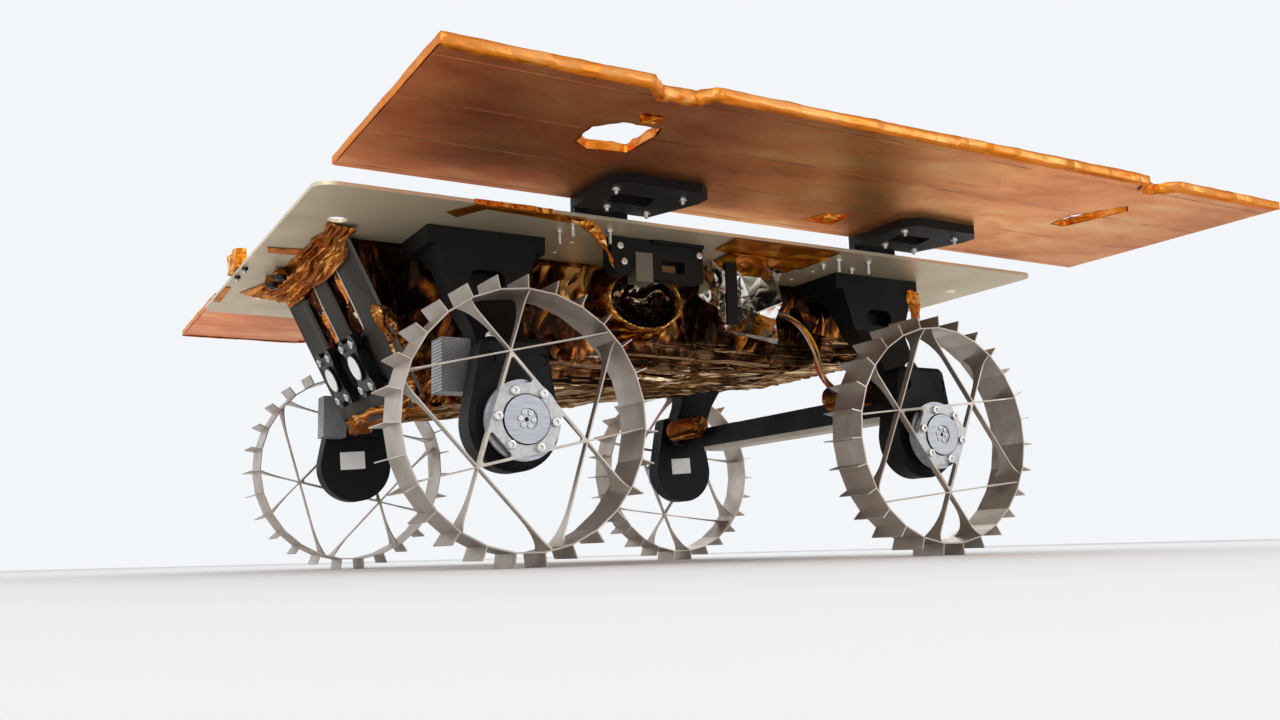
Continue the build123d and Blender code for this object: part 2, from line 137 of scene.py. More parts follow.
def set_surface(material, colour, roughness, **others):
    """Sets or links the colour, the roughness and other sockets of a material's shader."""
    inputs = material.node_tree.nodes["Principled BSDF"].inputs
    plug(colour, inputs["Base Color"])
    plug(roughness, inputs["Roughness"])
    for name, value in others.items():
        plug(value, inputs[name.replace("_", " ")])
    return material


def object_place(stretch=(1, 1, 1), turn=(0, 0, 0)):
    """Object coordinates in metres, stretched and turned for a pattern."""
    place = add_node("TexCoord").outputs["Object"]
    turned = [math.radians(angle) for angle in turn]
    mapping = add_node("Mapping", {"Vector": place, "Rotation": turned, "Scale": stretch})
    return mapping.outputs["Vector"]


def cloud(place, scale, detail=4.0, roughness=0.55, distortion=0.0):
    """Soft noise between 0 and 1."""
    sockets = {"Vector": place, "Scale": scale, "Detail": detail, "Roughness": roughness,
               "Distortion": distortion}
    return add_node("TexNoise", sockets).outputs["Fac"]


def ramp(value, stops):
    """Colours along a value, as (position, colour) stops."""
    node = add_node("ValToRGB", {"Fac": value})
    elements = node.color_ramp.elements
    while len(elements) < len(stops):
        elements.new(0.5)
    for element, (position, colour) in zip(elements, stops):
        element.position = position
        element.color = (*colour, 1)
    return node.outputs["Color"]


def spread(value, low, high, to_low=0.0, to_high=1.0):
    """Maps a value from one range to another, clamped."""
    sockets = {"Value": value, "From Min": low, "From Max": high, "To Min": to_low, "To Max": to_high}
    return add_node("MapRange", sockets).outputs["Result"]


def over_noise(noise, to_low, to_high):
    """Maps noise, most of which lies between 0.3 and 0.7, to a range."""
    return spread(noise, 0.3, 0.7, to_low, to_high)


def calculate(operation, first, second=0.0):
    return add_node("Math", {0: first, 1: second}, operation=operation).outputs[0]


def dot(first, second):
    return add_node("VectorMath", {0: first, 1: second}, operation="DOT_PRODUCT").outputs["Value"]


def mix_colours(factor, first, second, blend_type="MIX"):
    sockets = {0: factor, 6: first, 7: second}
    return add_node("Mix", sockets, data_type="RGBA", blend_type=blend_type).outputs[2]


def bump(height, distance, **under):
    """Normal of a height, in metres at full height, on top of another normal if one is given."""
    sockets = {"Height": height, "Distance": distance, **under}
    return add_node("Bump", sockets).outputs["Normal"]


def face_normal():
    return add_node("NewGeometry").outputs["Normal"]


def darker(colour, share):
    return tuple(channel * share for channel in colour)


def cover(piece, material):
    """Gives a piece one material."""
    piece.data.materials.clear()
    piece.data.materials.append(material)


def cover_nodes(starts, material):
    """Gives one material to every CAD node whose name starts in one of these ways."""
    for name, node in nodes.items():
        if name.startswith(starts):
            cover(node, material)


# %% Floor, backdrop and light
floor_size = 30.0

bpy.ops.mesh.primitive_plane_add(size=floor_size)
floor = bpy.context.object
floor.name = "floor"
cover(floor, new_material("pale floor"))
pale = ramp(cloud(object_place(), 2.0), [(0.3, (0.78, 0.77, 0.75)), (0.7, (0.80, 0.79, 0.77))])
set_surface(floor.active_material, pale, 0.9)
floor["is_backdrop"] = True

# The world lights the rover with one background, and cameras and mirrors see a paler one
world = bpy.data.worlds.new("studio")
bpy.context.scene.world = world
world.use_nodes = True
trees.append(world.node_tree)
light = world.node_tree.nodes["Background"]
plug((0.94, 0.96, 1.0, 1), light.inputs["Color"])
plug(0.85, light.inputs["Strength"])
seen = add_node("Background", {"Color": (0.90, 0.92, 0.95, 1), "Strength": 1.0})
rays = add_node("LightPath").outputs
seen_ray = calculate("MAXIMUM", rays["Is Camera Ray"], rays["Is Glossy Ray"])
seen_ray = calculate("MAXIMUM", seen_ray, rays["Is Transmission Ray"])
both = add_node("MixShader", {0: seen_ray, 1: light.outputs[0], 2: seen.outputs[0]})
plug(both.outputs[0], world.node_tree.nodes["World Output"].inputs["Surface"])

# Lamps: name, place, size, power in watts
lamps = (
    ("sky lamp", (1.6, 2.2, 2.6), 2.4, 30),
    ("left lamp", (2.6, 1.7, 0.9), 1.4, 9),
    ("right lamp", (-1.6, 2.5, 0.9), 1.4, 9),
    ("back lamp", (-1.8, -2.4, 1.9), 2.0, 18),
)
lamp_target = Vector((0, 0, 0.2))
for name, place, size, watts in lamps:
    bpy.ops.object.light_add(type="AREA", location=place)
    lamp = bpy.context.object
    lamp.name = name
    lamp.data.size = size
    lamp.data.energy = watts
    lamp.rotation_euler = (lamp_target - lamp.location).to_track_quat("-Z", "Y").to_euler()
print("lamps:", len(lamps))

# %% [markdown]
# ## Metal sheet
#
# The deck is bare sheet with a fine rolled grain; the warm beige of its underside is a painted
# reflection of the pale ground, and its upper face is plain grey. The camera bracket is sheet with
# dull grey paint. A stretched noise gives the grain and a wide soft one the handling marks, which
# change the roughness more than the colour. The bracket is painted on its faces only, so its material
# finds the cut edges by the way they face.


# %% Sheet metal
rolled_grain = (4, 900, 900)


def sheet_metal(name, colour, metal, rough, unreflected_upper=None):
    """Rolled sheet. Where an upper colour is given, faces that look down keep colour, as a painted warm
    reflection of the ground below, and faces that look up take the upper colour.
    """
    material = new_material(name)
    streaks = cloud(object_place(stretch=rolled_grain), 1.0, detail=3)
    marks = cloud(object_place(), 9.0, detail=5, distortion=0.6)
    tint = ramp(streaks, [(0.35, darker(colour, 0.86)), (0.65, colour)])
    if unreflected_upper:
        height = add_node("SeparateXYZ", {"Vector": face_normal()}).outputs["Z"]
        above = ramp(streaks, [(0.35, darker(unreflected_upper, 0.9)), (0.65, unreflected_upper)])
        # Painted reflection: the warm colour stays on faces that look down, the upper colour on faces that
        # look up
        tint = mix_colours(spread(height, 0.3, 0.7), tint, above)
    dull = ramp(marks, [(0.35, (0.86, 0.85, 0.83)), (0.7, (1, 1, 1))])
    return set_surface(material, mix_colours(1.0, tint, dull, "MULTIPLY"),
                       spread(marks, 0.3, 0.75, rough + 0.12, rough - 0.06),
                       Metallic=metal, Normal=bump(streaks, 0.00004))


# The deck's warm beige is a painted reflection of the pale ground on its lower faces
cover(nodes["top_plate"], sheet_metal("deck sheet", (0.78, 0.66, 0.46), 0.6, 0.42, unreflected_upper=(0.50, 0.49, 0.46)))
strip_sheet = sheet_metal("pale strip", (0.88, 0.81, 0.67), 0.1, 0.5)
cover(nodes["beam_strip"], strip_sheet)
cover(nodes["connector_terminal"], sheet_metal("terminal", (0.17, 0.15, 0.115), 0.2, 0.4))

# %% Painted bracket
# The way that its faces look
bracket_facing = (0.89, 0.0, -0.455)


def bracket_sheet():
    """Dull grey paint on the two faces, paler where the sheet was cut."""
    material = new_material("bracket sheet")
    place = object_place()
    marks = cloud(place, 14.0, detail=6, distortion=0.8)
    paint = ramp(marks, [(0.3, (0.028, 0.024, 0.020)), (0.7, (0.056, 0.048, 0.041))])
    facing = calculate("ABSOLUTE", dot(face_normal(), bracket_facing))
    cut = spread(facing, 0.5, 0.7, 1.0, 0.0)
    return set_surface(material, mix_colours(cut, paint, (0.15, 0.13, 0.11, 1)),
                       over_noise(marks, 0.75, 0.55),
                       Metallic=0.1, Specular_IOR_Level=0.15, Normal=bump(cloud(place, 500.0), 0.00006))


cover(nodes["camera_bracket"], bracket_sheet())


# %% Fine mesh sleeve on the front motor blocks
def mesh_sleeve():
    """Metal braid: two sets of fine threads that cross over a dark ground."""
    material = new_material("mesh sleeve")
    threads = 0.0
    for turn in (45, -45):
        sockets = {"Vector": object_place(turn=(0, turn, 0)), "Scale": 170.0, "Distortion": 0.6}
        waves = add_node("TexWave", sockets, bands_direction="X").outputs["Fac"]
        threads = calculate("MAXIMUM", waves, threads)
    soft = cloud(object_place(), 30.0)
    tint = ramp(threads, [(0.45, (0.10, 0.10, 0.105)), (0.9, (0.52, 0.53, 0.55))])
    shade = ramp(soft, [(0.35, (0.6, 0.6, 0.6)), (0.65, (1, 1, 1))])
    return set_surface(material, mix_colours(1.0, tint, shade, "MULTIPLY"), 0.42,
                       Metallic=0.6, Normal=bump(threads, 0.0003))


cover_nodes("front_block_", mesh_sleeve())

# %% [markdown]
# ## Wheels
#
# One sheet colour serves the band, the grousers and the ribbons. The plate in the middle is cut from
# brighter sheet, so the material measures how far a point lies from the wheel's axis.

# %% Wheel metal
hub_plate_radius = 0.030


def from_axle(place):
    """Distance from the axis of the nearest wheel."""
    split = add_node("SeparateXYZ", {"Vector": place})
    from_middle = calculate("ABSOLUTE", calculate("SUBTRACT", split.outputs["X"], middle_x))
    across = calculate("SUBTRACT", from_middle, half_base)
    above = calculate("SUBTRACT", split.outputs["Z"], axle_height)
    squares = [calculate("MULTIPLY", part, part) for part in (across, above)]
    return calculate("SQRT", calculate("ADD", *squares))


def wheel_metal():
    material = new_material("wheel sheet")
    place = object_place()
    patches = cloud(place, 14.0, detail=6, distortion=0.8)
    fine = cloud(place, 240.0, detail=2)
    sheet = ramp(patches, [(0.3, (0.35, 0.30, 0.25)), (0.52, (0.50, 0.44, 0.38)), (0.72, (0.66, 0.61, 0.55))])
    bright = ramp(fine, [(0.3, (0.42, 0.42, 0.42)), (0.7, (0.56, 0.56, 0.56))])
    inner = spread(from_axle(place), hub_plate_radius, hub_plate_radius + 0.004, 1.0, 0.0)
    return set_surface(material, mix_colours(inner, sheet, bright), over_noise(patches, 0.5, 0.34),
                       Metallic=0.75, Normal=bump(fine, 0.00005))


cover_nodes("wheel_", wheel_metal())


# %% Brushed hub discs
# Distances from the axis over which the painted shade in the gap by the rim begins and ends, and where the
# painted shade of the bore ends
rim_gap_from = (0.0185, 0.0187)
rim_gap_to = (0.0192, 0.0196)
bore_edge = (0.0016, 0.0020)


def hub_metal():
    """Brushed disc with painted shade in the gap round its rim and in the bore in its middle."""
    material = new_material("brushed hub")
    distance = from_axle(object_place())
    brushed = cloud(object_place(stretch=(60, 60, 1500)), 1.0, detail=3)
    tint = ramp(brushed, [(0.35, (0.34, 0.35, 0.38)), (0.65, (0.48, 0.49, 0.52))])
    rim_shade = calculate("MULTIPLY", spread(distance, *rim_gap_from), spread(distance, *rim_gap_to, 1.0, 0.0))
    painted_shade = calculate("MAXIMUM", rim_shade, spread(distance, *bore_edge, 1.0, 0.0))
    return set_surface(material, mix_colours(painted_shade, tint, (0.02, 0.02, 0.02, 1)),
                       over_noise(brushed, 0.42, 0.30),
                       Metallic=0.9, Normal=bump(brushed, 0.00005))


cover_nodes("hub_", hub_metal())

# %% [markdown]
# ## Black moulded parts
#
# Legs, drives and hinges are moulded or printed in black plastic: nearly black, a little brown where
# dust lies, with a very fine grain that breaks the highlights.


# %% Black plastics
def black_plastic(name, colour, dusty, rough, grain, dust):
    """Black with patches of a dustier black; dust is the most that they cover."""
    material = new_material(name)
    place = object_place()
    patches = cloud(place, 22.0, detail=5, distortion=0.5)
    marked = spread(patches, 0.5, 0.8, 0.0, dust)
    return set_surface(material, mix_colours(marked, (*colour, 1), (*dusty, 1)),
                       over_noise(patches, rough - 0.08, rough + 0.12),
                       Specular_IOR_Level=0.2, Normal=bump(cloud(place, grain, detail=2), 0.00012))


moulded = black_plastic("moulded black", (0.0055, 0.0055, 0.0062), (0.0190, 0.0166, 0.0156), 0.52, 900.0, 0.3)
anodised = black_plastic("black anodised", (0.003, 0.003, 0.0034), (0.014, 0.0116, 0.010), 0.34, 1800.0, 0.1)
cover_nodes(("leg_", "drive_", "hinge_", "connector_bracket", "strap_bar", "rear_axle_beam"), moulded)
cover_nodes(("camera_left", "camera_right"), anodised)

# %% [markdown]
# ## Films
#
# The body, its port and the motors are wrapped in thin amber film with a metal layer behind it. Such
# film falls into flat facets with sharp creases between them. A dense copy of each solid is moved in
# and out by a fold pattern, and Decimate then leaves few uneven facets, which keep hard edges where
# they meet at more than a set angle. Finer folds are bump, and the way that a bumped point leans picks
# its colour as a painted reflection, because neighbouring folds mirror other things. A tone for each
# point shifts that colour; it too is mostly painted reflection, from the way that the point leans.


# %% Helpers for pieces
def pick_only(piece):
    """Selects one piece and makes it active."""
    bpy.ops.object.select_all(action="DESELECT")
    piece.select_set(True)
    bpy.context.view_layer.objects.active = piece


def use_modifier(piece, kind, **settings):
    """Adds a modifier to a piece and applies it."""
    pick_only(piece)
    modifier = piece.modifiers.new(kind.title(), kind)
    for name, value in settings.items():
        setattr(modifier, name, value)
    bpy.ops.object.modifier_apply(modifier=modifier.name)


def select_parts(piece, kind, wanted):
    """In edit mode, selects the faces or edges that a test picks, and no others."""
    bpy.ops.mesh.select_mode(type=kind)
    bpy.ops.mesh.select_all(action="DESELECT")
    cage = bmesh.from_edit_mesh(piece.data)
    for part in cage.faces if kind == "FACE" else cage.edges:
        if wanted(part):
            part.select_set(True)
    bmesh.update_edit_mesh(piece.data)


def settle(piece, name, material, body):
    """Names and covers a piece, puts its place in its mesh and lets it ride with a body."""
    pick_only(piece)
    bpy.ops.object.transform_apply(location=True, rotation=True, scale=True)
    piece.name = name
    cover(piece, material)
    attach(piece, body)
    return piece


def add_object(name, data):
    piece = bpy.data.objects.new(name, data)
    bpy.context.collection.objects.link(piece)
    return piece


def copy_of(node, name):
    """A copy of a CAD node's mesh with its doubles merged."""
    piece = add_object(name, nodes[node].data.copy())
    pick_only(piece)
    bpy.ops.object.mode_set(mode="EDIT")
    bpy.ops.mesh.select_all(action="SELECT")
    bpy.ops.mesh.remove_doubles(threshold=0.00002)
    bpy.ops.object.mode_set(mode="OBJECT")
    return piece


def move_points(piece, distance_of):
    """Moves every point along its normal by a distance for its place and normal."""
    moves = [vertex.normal * distance_of(vertex.co, vertex.normal) for vertex in piece.data.vertices]
    for vertex, move in zip(piece.data.vertices, moves):
        vertex.co += move


def at(x, y, z):
    """A point given in millimetres from the middle of the wheelbase, the centre line and the floor."""
    return Vector((middle_x + x / 1000, y / 1000, z / 1000))


def middle_of(low, high):
    return Vector([(first + last) / 2 for first, last in zip(low, high)])


def mix(start, end, share):
    return start + (end - start) * share


def smooth(share):
    """Eases from 0 to 1, clamped."""
    share = min(max(share, 0.0), 1.0)
    return share * share * (3 - 2 * share)


# %% Fold patterns and tones
def crease(point, size, seed=0.0):
    """Sharp folds of about that size: 1 on a crest, falling below 0 between the crests."""
    return 1 - 2.2 * abs(noise.noise(point / size + Vector((seed, seed * 0.7, -seed))))


def reflection_and_random_tone(centre, normal, seed=0.0):
    """Tone between 0 and 1: a painted reflection from the way that a point leans and, less, a random tone
    from its place.
    """
    by_lean = noise.noise(normal * 5.0 + Vector((seed, 0, 0)))
    by_place = noise.noise(centre * 18.0 + Vector((0, seed, 0)))
    return min(max(0.5 + 1.05 * by_lean + 0.45 * by_place, 0.0), 1.0)


def set_values(piece, name, value_of):
    """Gives every point a value that a material reads by its name."""
    values = piece.data.attributes.new(name, "FLOAT", "POINT")
    values.data.foreach_set("value", [value_of(vertex.co, vertex.normal) for vertex in piece.data.vertices])


def set_tones(piece, tone_of=reflection_and_random_tone, soft=None):
    """Shades a piece softly up to an angle with a tone for each point, or flat with one for each face."""
    pick_only(piece)
    if soft:
        bpy.ops.object.shade_smooth_by_angle(angle=math.radians(soft))
        set_values(piece, "tone", tone_of)
    else:
        bpy.ops.object.shade_flat()
        tones = piece.data.attributes.new("tone", "FLOAT", "FACE")
        tones.data.foreach_set("value", [tone_of(face.center, face.normal) for face in piece.data.polygons])


def crumple(place, size, tilt):
    """Flat facets between sharp folds, about that size in metres and tilted about that much."""
    height = 0.0
    for share, finer in ((1.0, 0.45), (0.20, 1.4)):
        soft = cloud(place, finer / size, detail=1, distortion=0.3)
        fold = calculate("ABSOLUTE", calculate("SUBTRACT", soft, 0.5))
        height = calculate("ADD", height, calculate("MULTIPLY", fold, share))
    return bump(height, 2.8 * size * tilt)


def own_value(name):
    return add_node("Attribute", attribute_name=name).outputs["Fac"]


def reflection_bands(bumped, share, look=(0.42, 0.52, 0.74)):
    """A painted reflection value, about 0 to 1, by how far the folds lean one way, shifted by a share of the
    piece's tone, which is mostly painted reflection too.
    """
    lean = add_node("VectorMath", {0: bumped, 1: face_normal()}, operation="SUBTRACT")
    value = calculate("ADD", dot(lean.outputs["Vector"], look), 0.5)
    tone = calculate("SUBTRACT", own_value("tone"), 0.5)
    return calculate("ADD", value, calculate("MULTIPLY", tone, share))


def film(name, rough, metal, size, tilt, stops, stretch=(1, 1, 1), share=0.5, edge=(1.0, 0.52, 0.20)):
    """Metal-backed film: painted reflections and glints as bands of colour by the lean of its folds, tinted
    with edge where it is seen flat.
    """
    material = new_material(name)
    bumped = crumple(object_place(stretch=stretch), size, tilt)
    haze = cloud(object_place(), 40.0, detail=2)
    return set_surface(material, ramp(reflection_bands(bumped, share), stops),
                       over_noise(haze, rough + 0.08, rough - 0.04),
                       Metallic=metal, Specular_Tint=(*edge, 1), Normal=bumped)


bright_amber = film("bright amber film", 0.22, 0.6, 0.012, 0.45, [
    (0.05, (0.16, 0.032, 0.004)), (0.30, (0.55, 0.13, 0.010)), (0.42, (0.88, 0.29, 0.022)),
    (0.50, (0.42, 0.095, 0.008)), (0.60, (0.82, 0.24, 0.016)), (0.76, (1.0, 0.46, 0.07)),
    (0.94, (1.0, 0.80, 0.40))])
port_amber = film("port film", 0.22, 0.8, 0.012, 0.4, [
    (0.10, (0.022, 0.007, 0.002)), (0.38, (0.15, 0.042, 0.006)), (0.54, (0.46, 0.135, 0.013)),
    (0.70, (0.86, 0.32, 0.030)), (0.92, (1.0, 0.64, 0.20))], share=1.0)
old_tape = film("old amber tape", 0.28, 0.85, 0.010, 0.40, [
    (0.05, (0.022, 0.006, 0.001)), (0.28, (0.095, 0.027, 0.005)), (0.42, (0.25, 0.085, 0.016)),
    (0.52, (0.11, 0.032, 0.005)), (0.66, (0.33, 0.125, 0.026)), (0.92, (0.80, 0.45, 0.18))],
    stretch=(1, 0.12, 1))
pleated_tape = film("pleated amber tape", 0.24, 0.8, 0.011, 0.48, [
    (0.05, (0.035, 0.010, 0.002)), (0.24, (0.13, 0.040, 0.007)), (0.36, (0.38, 0.135, 0.022)),
    (0.44, (0.10, 0.030, 0.005)), (0.56, (0.34, 0.115, 0.018)), (0.64, (0.14, 0.042, 0.007)),
    (0.74, (0.50, 0.200, 0.042)), (0.94, (0.88, 0.50, 0.18))], stretch=(1, 0.18, 1), share=0.8)
clear_tape = film("clear amber tape", 0.2, 0.7, 0.028, 0.13, [
    (0.10, (0.14, 0.034, 0.002)), (0.42, (0.38, 0.108, 0.005)), (0.60, (0.62, 0.20, 0.010)),
    (0.80, (0.92, 0.42, 0.035)), (0.95, (1.0, 0.72, 0.30))], stretch=(1, 0.35, 1))
# The window film's brightness is painted light shining through it; the spots beside the holes use the same
# film
window_gold = film("window film", 0.36, 0.95, 0.012, 0.4, [
    (0.08, (0.62, 0.100, 0.004)), (0.30, (1.0, 0.22, 0.008)), (0.44, (0.84, 0.14, 0.005)),
    (0.62, (1.0, 0.30, 0.016)), (0.92, (1.0, 0.52, 0.10))], edge=(1.0, 0.34, 0.05))
edge_tape = film("edge tape", 0.25, 0.7, 0.022, 0.12, [
    (0.05, (0.20, 0.045, 0.005)), (0.30, (0.54, 0.135, 0.008)), (0.46, (0.76, 0.22, 0.014)),
    (0.60, (0.72, 0.25, 0.055)), (0.84, (0.88, 0.40, 0.12)), (0.97, (1.0, 0.72, 0.42))], share=1.0)
mirror = film("silver film", 0.1, 1.0, 0.026, 0.30, [
    (0.06, (0.020, 0.018, 0.016)), (0.24, (0.13, 0.115, 0.09)), (0.38, (0.46, 0.44, 0.36)),
    (0.48, (0.22, 0.20, 0.16)), (0.58, (0.52, 0.50, 0.42)), (0.68, (0.93, 0.92, 0.89)),
    (0.78, (0.34, 0.32, 0.28)), (0.92, (0.97, 0.97, 0.95))], share=1.0, edge=(1, 1, 1))
# Dark film with painted glints, which stands in for the shade inside the bracket's slots and the port
shade_film = film("black film", 0.14, 0.9, 0.014, 0.55, [
    (0.10, (0.002, 0.002, 0.002)), (0.52, (0.004, 0.003, 0.003)), (0.62, (0.030, 0.017, 0.012)),
    (0.68, (0.004, 0.003, 0.003)), (0.84, (0.012, 0.010, 0.009)), (0.90, (0.18, 0.11, 0.06)),
    (0.97, (0.80, 0.70, 0.55))])


# %% Wrapping a solid in film
def wrap(node, name, voxel, keep, folds, material, tone_of=reflection_and_random_tone, soft=None):
    """Film round a CAD solid: a dense copy is folded, thinned to facets and stands for the solid."""
    piece = copy_of(node, name)
    use_modifier(piece, "REMESH", mode="VOXEL", voxel_size=voxel)
    move_points(piece, folds)
    use_modifier(piece, "DECIMATE", ratio=keep)
    set_tones(piece, tone_of, soft)
    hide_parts(node)
    print(name, "facets:", len(piece.data.polygons))
    return settle(piece, name, material, "chassis")


# %% Film on the body
body_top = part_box("body_box")[1][2]
port_low, port_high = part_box("side_port")
port_middle = middle_of(port_low, port_high)
port_reach = 0.042
# The line on the walls where the streaks end: where it starts, its length and its first and last height
belly_front = middle_x + 0.242
belly_length = 0.507
streak_levels = (0.170, 0.236)


def underside(normal):
    """1 on the belly, 0 on the walls."""
    return smooth((-normal.z - 0.45) / 0.35)


def streaked(point, normal):
    """1 on the belly and on the lowest part of the walls, where the film is drawn under it."""
    from_front = min(max((belly_front - point.x) / belly_length, 0.0), 1.0)
    edge = mix(*streak_levels, from_front) + 0.014 * noise.noise(point * 22.0)
    return max(underside(normal), smooth((edge - point.z) / 0.012))


def body_folds(point, normal):
    """Long folds along the belly, hanging ones on the walls, none where the bracket and deck touch."""
    if normal.x > 0.5:
        return 0.0
    fan = point.y + 0.10 * point.x * noise.noise(point * 4.0)
    long_place = Vector((point.x * 0.13, fan, point.z))
    belly = 0.0042 * crease(long_place, 0.017) + 0.0016 * crease(long_place, 0.006, 3.0)
    hanging = Vector((point.x + 0.25 * point.z, point.y, point.z * 0.42))
    wall = 0.0050 * crease(hanging, 0.036, 5.0) + 0.0018 * crease(hanging, 0.014, 7.0)
    height = mix(wall, belly, underside(normal)) - 0.004
    return height * smooth((body_top - point.z) / 0.010)


def body_tone(centre, normal):
    """Dark walls with a few amber patches, most of all round the port, over a painted reflection tone; the
    belly takes only the painted reflection tone of its folds.
    """
    tone = reflection_and_random_tone(centre, normal)
    patch = smooth(2.2 * noise.noise(centre * 13.0 + Vector((4, 0, 1))) - 0.1)
    near_port = smooth(2.2 - (centre - port_middle).length / port_reach)
    return mix(0.16 + 0.42 * tone ** 1.4 + 0.34 * patch + 0.75 * near_port, tone, streaked(centre, normal))


def body_amber():
    """Walls: dark brown film that hangs in folds, coloured by painted reflections with amber glints. Belly:
    black with long straw-coloured streaks, which are painted highlights along its folds.
    """
    material = new_material("body film")
    hanging = crumple(object_place(stretch=(1, 1, 0.6), turn=(0, 14, 0)), 0.032, 0.6)
    wall = ramp(reflection_bands(hanging, 0.5), [
        (0.02, (0.80, 0.34, 0.07)), (0.15, (0.26, 0.070, 0.012)), (0.25, (0.060, 0.016, 0.005)),
        (0.38, (0.014, 0.006, 0.004)), (0.53, (0.008, 0.004, 0.003)), (0.60, (0.080, 0.022, 0.007)),
        (0.65, (0.014, 0.006, 0.004)), (0.78, (0.055, 0.016, 0.006)), (0.87, (0.40, 0.11, 0.015)),
        (0.97, (0.95, 0.55, 0.18))])
    long = crumple(object_place(stretch=(0.05, 0.34, 1.2), turn=(0, 5, 2)), 0.0085, 0.80)
    belly_highlights = ramp(reflection_bands(long, 0.25, look=(0.3, 0.80, 0.5)), [
        (0.05, (0.62, 0.42, 0.23)), (0.15, (0.10, 0.036, 0.012)), (0.25, (0.004, 0.003, 0.003)),
        (0.52, (0.006, 0.004, 0.004)), (0.58, (0.34, 0.13, 0.040)), (0.63, (0.010, 0.005, 0.004)),
        (0.72, (0.60, 0.38, 0.18)), (0.86, (0.95, 0.80, 0.56))])
    belly = own_value("belly")
    folds = add_node("Mix", {0: belly, 4: hanging, 5: long}, data_type="VECTOR")
    haze = cloud(object_place(), 30.0, detail=2)
    return set_surface(material, mix_colours(belly, wall, belly_highlights), over_noise(haze, 0.30, 0.16),
                       Metallic=0.85, Specular_Tint=(0.95, 0.60, 0.34, 1), Normal=folds.outputs[1])


body_skin = wrap("body_box", "body_film", 0.0034, 0.34, body_folds, body_amber(), body_tone, soft=38)
set_values(body_skin, "belly", streaked)


# %% Film round the port
def from_body(point):
    """0 where the port leaves the body, 1 at its lip."""
    return (point.y - port_low[1]) / (port_high[1] - port_low[1])


def port_folds(point, normal):
    """The collar puckers a little, its foot spreads over the body and its lip is uneven."""
    away = Vector((point.x - port_middle.x, 0, point.z - port_middle.z))
    out = from_body(point)
    foot = 0.007 * smooth(1 - out / 0.5) * (1 + 0.6 * noise.noise(point * 40.0))
    lip = 0.003 * out * noise.noise(away.normalized() * 2.5)
    if normal.dot(away) > 0:
        return foot + lip + 0.0018 * crease(point, 0.020, 1.0) * (1 - 0.6 * out) - 0.0010
    return 0.0004 * crease(point, 0.012, 1.0) - 0.0006


def port_light_tone(centre, normal):
    """A painted highlight at the lip, and painted shade inside and low on the collar, over the painted
    reflection tone.
    """
    out = from_body(centre)
    return 0.68 * reflection_and_random_tone(centre, normal) * (0.6 + 0.4 * out) + 0.45 * smooth(out * 5 - 3.3)


wrap("side_port", "port_film", 0.0014, 0.5, port_folds, port_amber, port_light_tone, soft=40)


# %% Film round the motors and the sensor
def small_folds(point, normal):
    return 0.0011 * crease(point, 0.016, 4.0) - 0.0008


def sensor_tone(centre, normal):
    """The face that looks forward is pale, the rest is amber."""
    return 1.0 if normal.x > 0.7 else 0.25 + 0.35 * reflection_and_random_tone(centre, normal)


for side_name, _ in sides:
    wrap("rear_motor_" + side_name, "motor_film_" + side_name, 0.0015, 0.12, small_folds, old_tape, soft=40)
wrap("sensor_block", "sensor_film", 0.0012, 0.10, small_folds, bright_amber, sensor_tone)

# %% [markdown]
# ## Silver bag
#
# The unit beside the body sits in a bag of silver film: a few large mirror facets that meet in sharp
# ridges, drawn to a point below. Few facets matter more here than many, so the folds are wide,
# Decimate leaves about one face in thirty, and the facets are shaded flat.

# %% Silver bag
bag_low, bag_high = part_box("foil_unit")


def bag_folds(point, normal):
    depth = (bag_high[2] - point.z) / (bag_high[2] - bag_low[2])
    return (0.012 * crease(point, 0.052, 8.0) - 0.005) * smooth(depth * 4)


# Painted reflection: each facet's tone comes from the way that it leans, raised a little
def bag_reflection_tone(centre, normal):
    return min(1.0, 0.14 + reflection_and_random_tone(centre, normal * 1.3, 2.0))


wrap("foil_unit", "silver_bag", 0.0040, 0.030, bag_folds, mirror, bag_reflection_tone)

# %% [markdown]
# ## Tape and loose film
#
# Where the bracket meets the deck, the film was gathered by hand and taped down, and more tape runs
# along the deck's edge. Each is a grid shaped point by point, thinned to facets and given a wall.


# %% Loose film helper
def loose_film(name, across, along, shape, material, keep=0.5, soft=None, wall=0.0004, body="chassis"):
    """A sheet of film from a grid: shape gives each point from its shares across and along."""
    bpy.ops.object.select_all(action="DESELECT")
    bpy.ops.mesh.primitive_grid_add(x_subdivisions=across, y_subdivisions=along, size=1)
    piece = bpy.context.object
    for vertex in piece.data.vertices:
        vertex.co = shape(vertex.co.x + 0.5, vertex.co.y + 0.5)
    if keep < 1:
        use_modifier(piece, "DECIMATE", ratio=keep)
    use_modifier(piece, "SOLIDIFY", thickness=wall, offset=0)
    bpy.ops.object.mode_set(mode="EDIT")
    bpy.ops.mesh.select_all(action="SELECT")
    bpy.ops.mesh.normals_make_consistent(inside=False)
    bpy.ops.object.mode_set(mode="OBJECT")
    set_tones(piece, soft=soft)
    return settle(piece, name, material, body)


def pucker(point, size, height, seed=0.0, along_y=1.0):
    """Moves a point by soft noise of about that size and height; a small along_y draws it out along Y."""
    place = Vector((point.x, point.y * along_y, point.z)) / size
    return point + noise.noise_vector(place + Vector((seed, 0, seed))) * height


# The deck's underside, its left side and its upper face, in millimetres
deck_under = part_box("top_plate")[0][2] * 1000
deck_side, deck_over = [level * 1000 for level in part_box("top_plate")[1][1:]]


# %% Gathered film above the bracket
# Its ends along Y, where it starts on the deck and ends on the slope, and the bracket's half width
gathered_ends = (-143, 147)
gathered_front = 331
gathered_rear = 305
bracket_half = 100


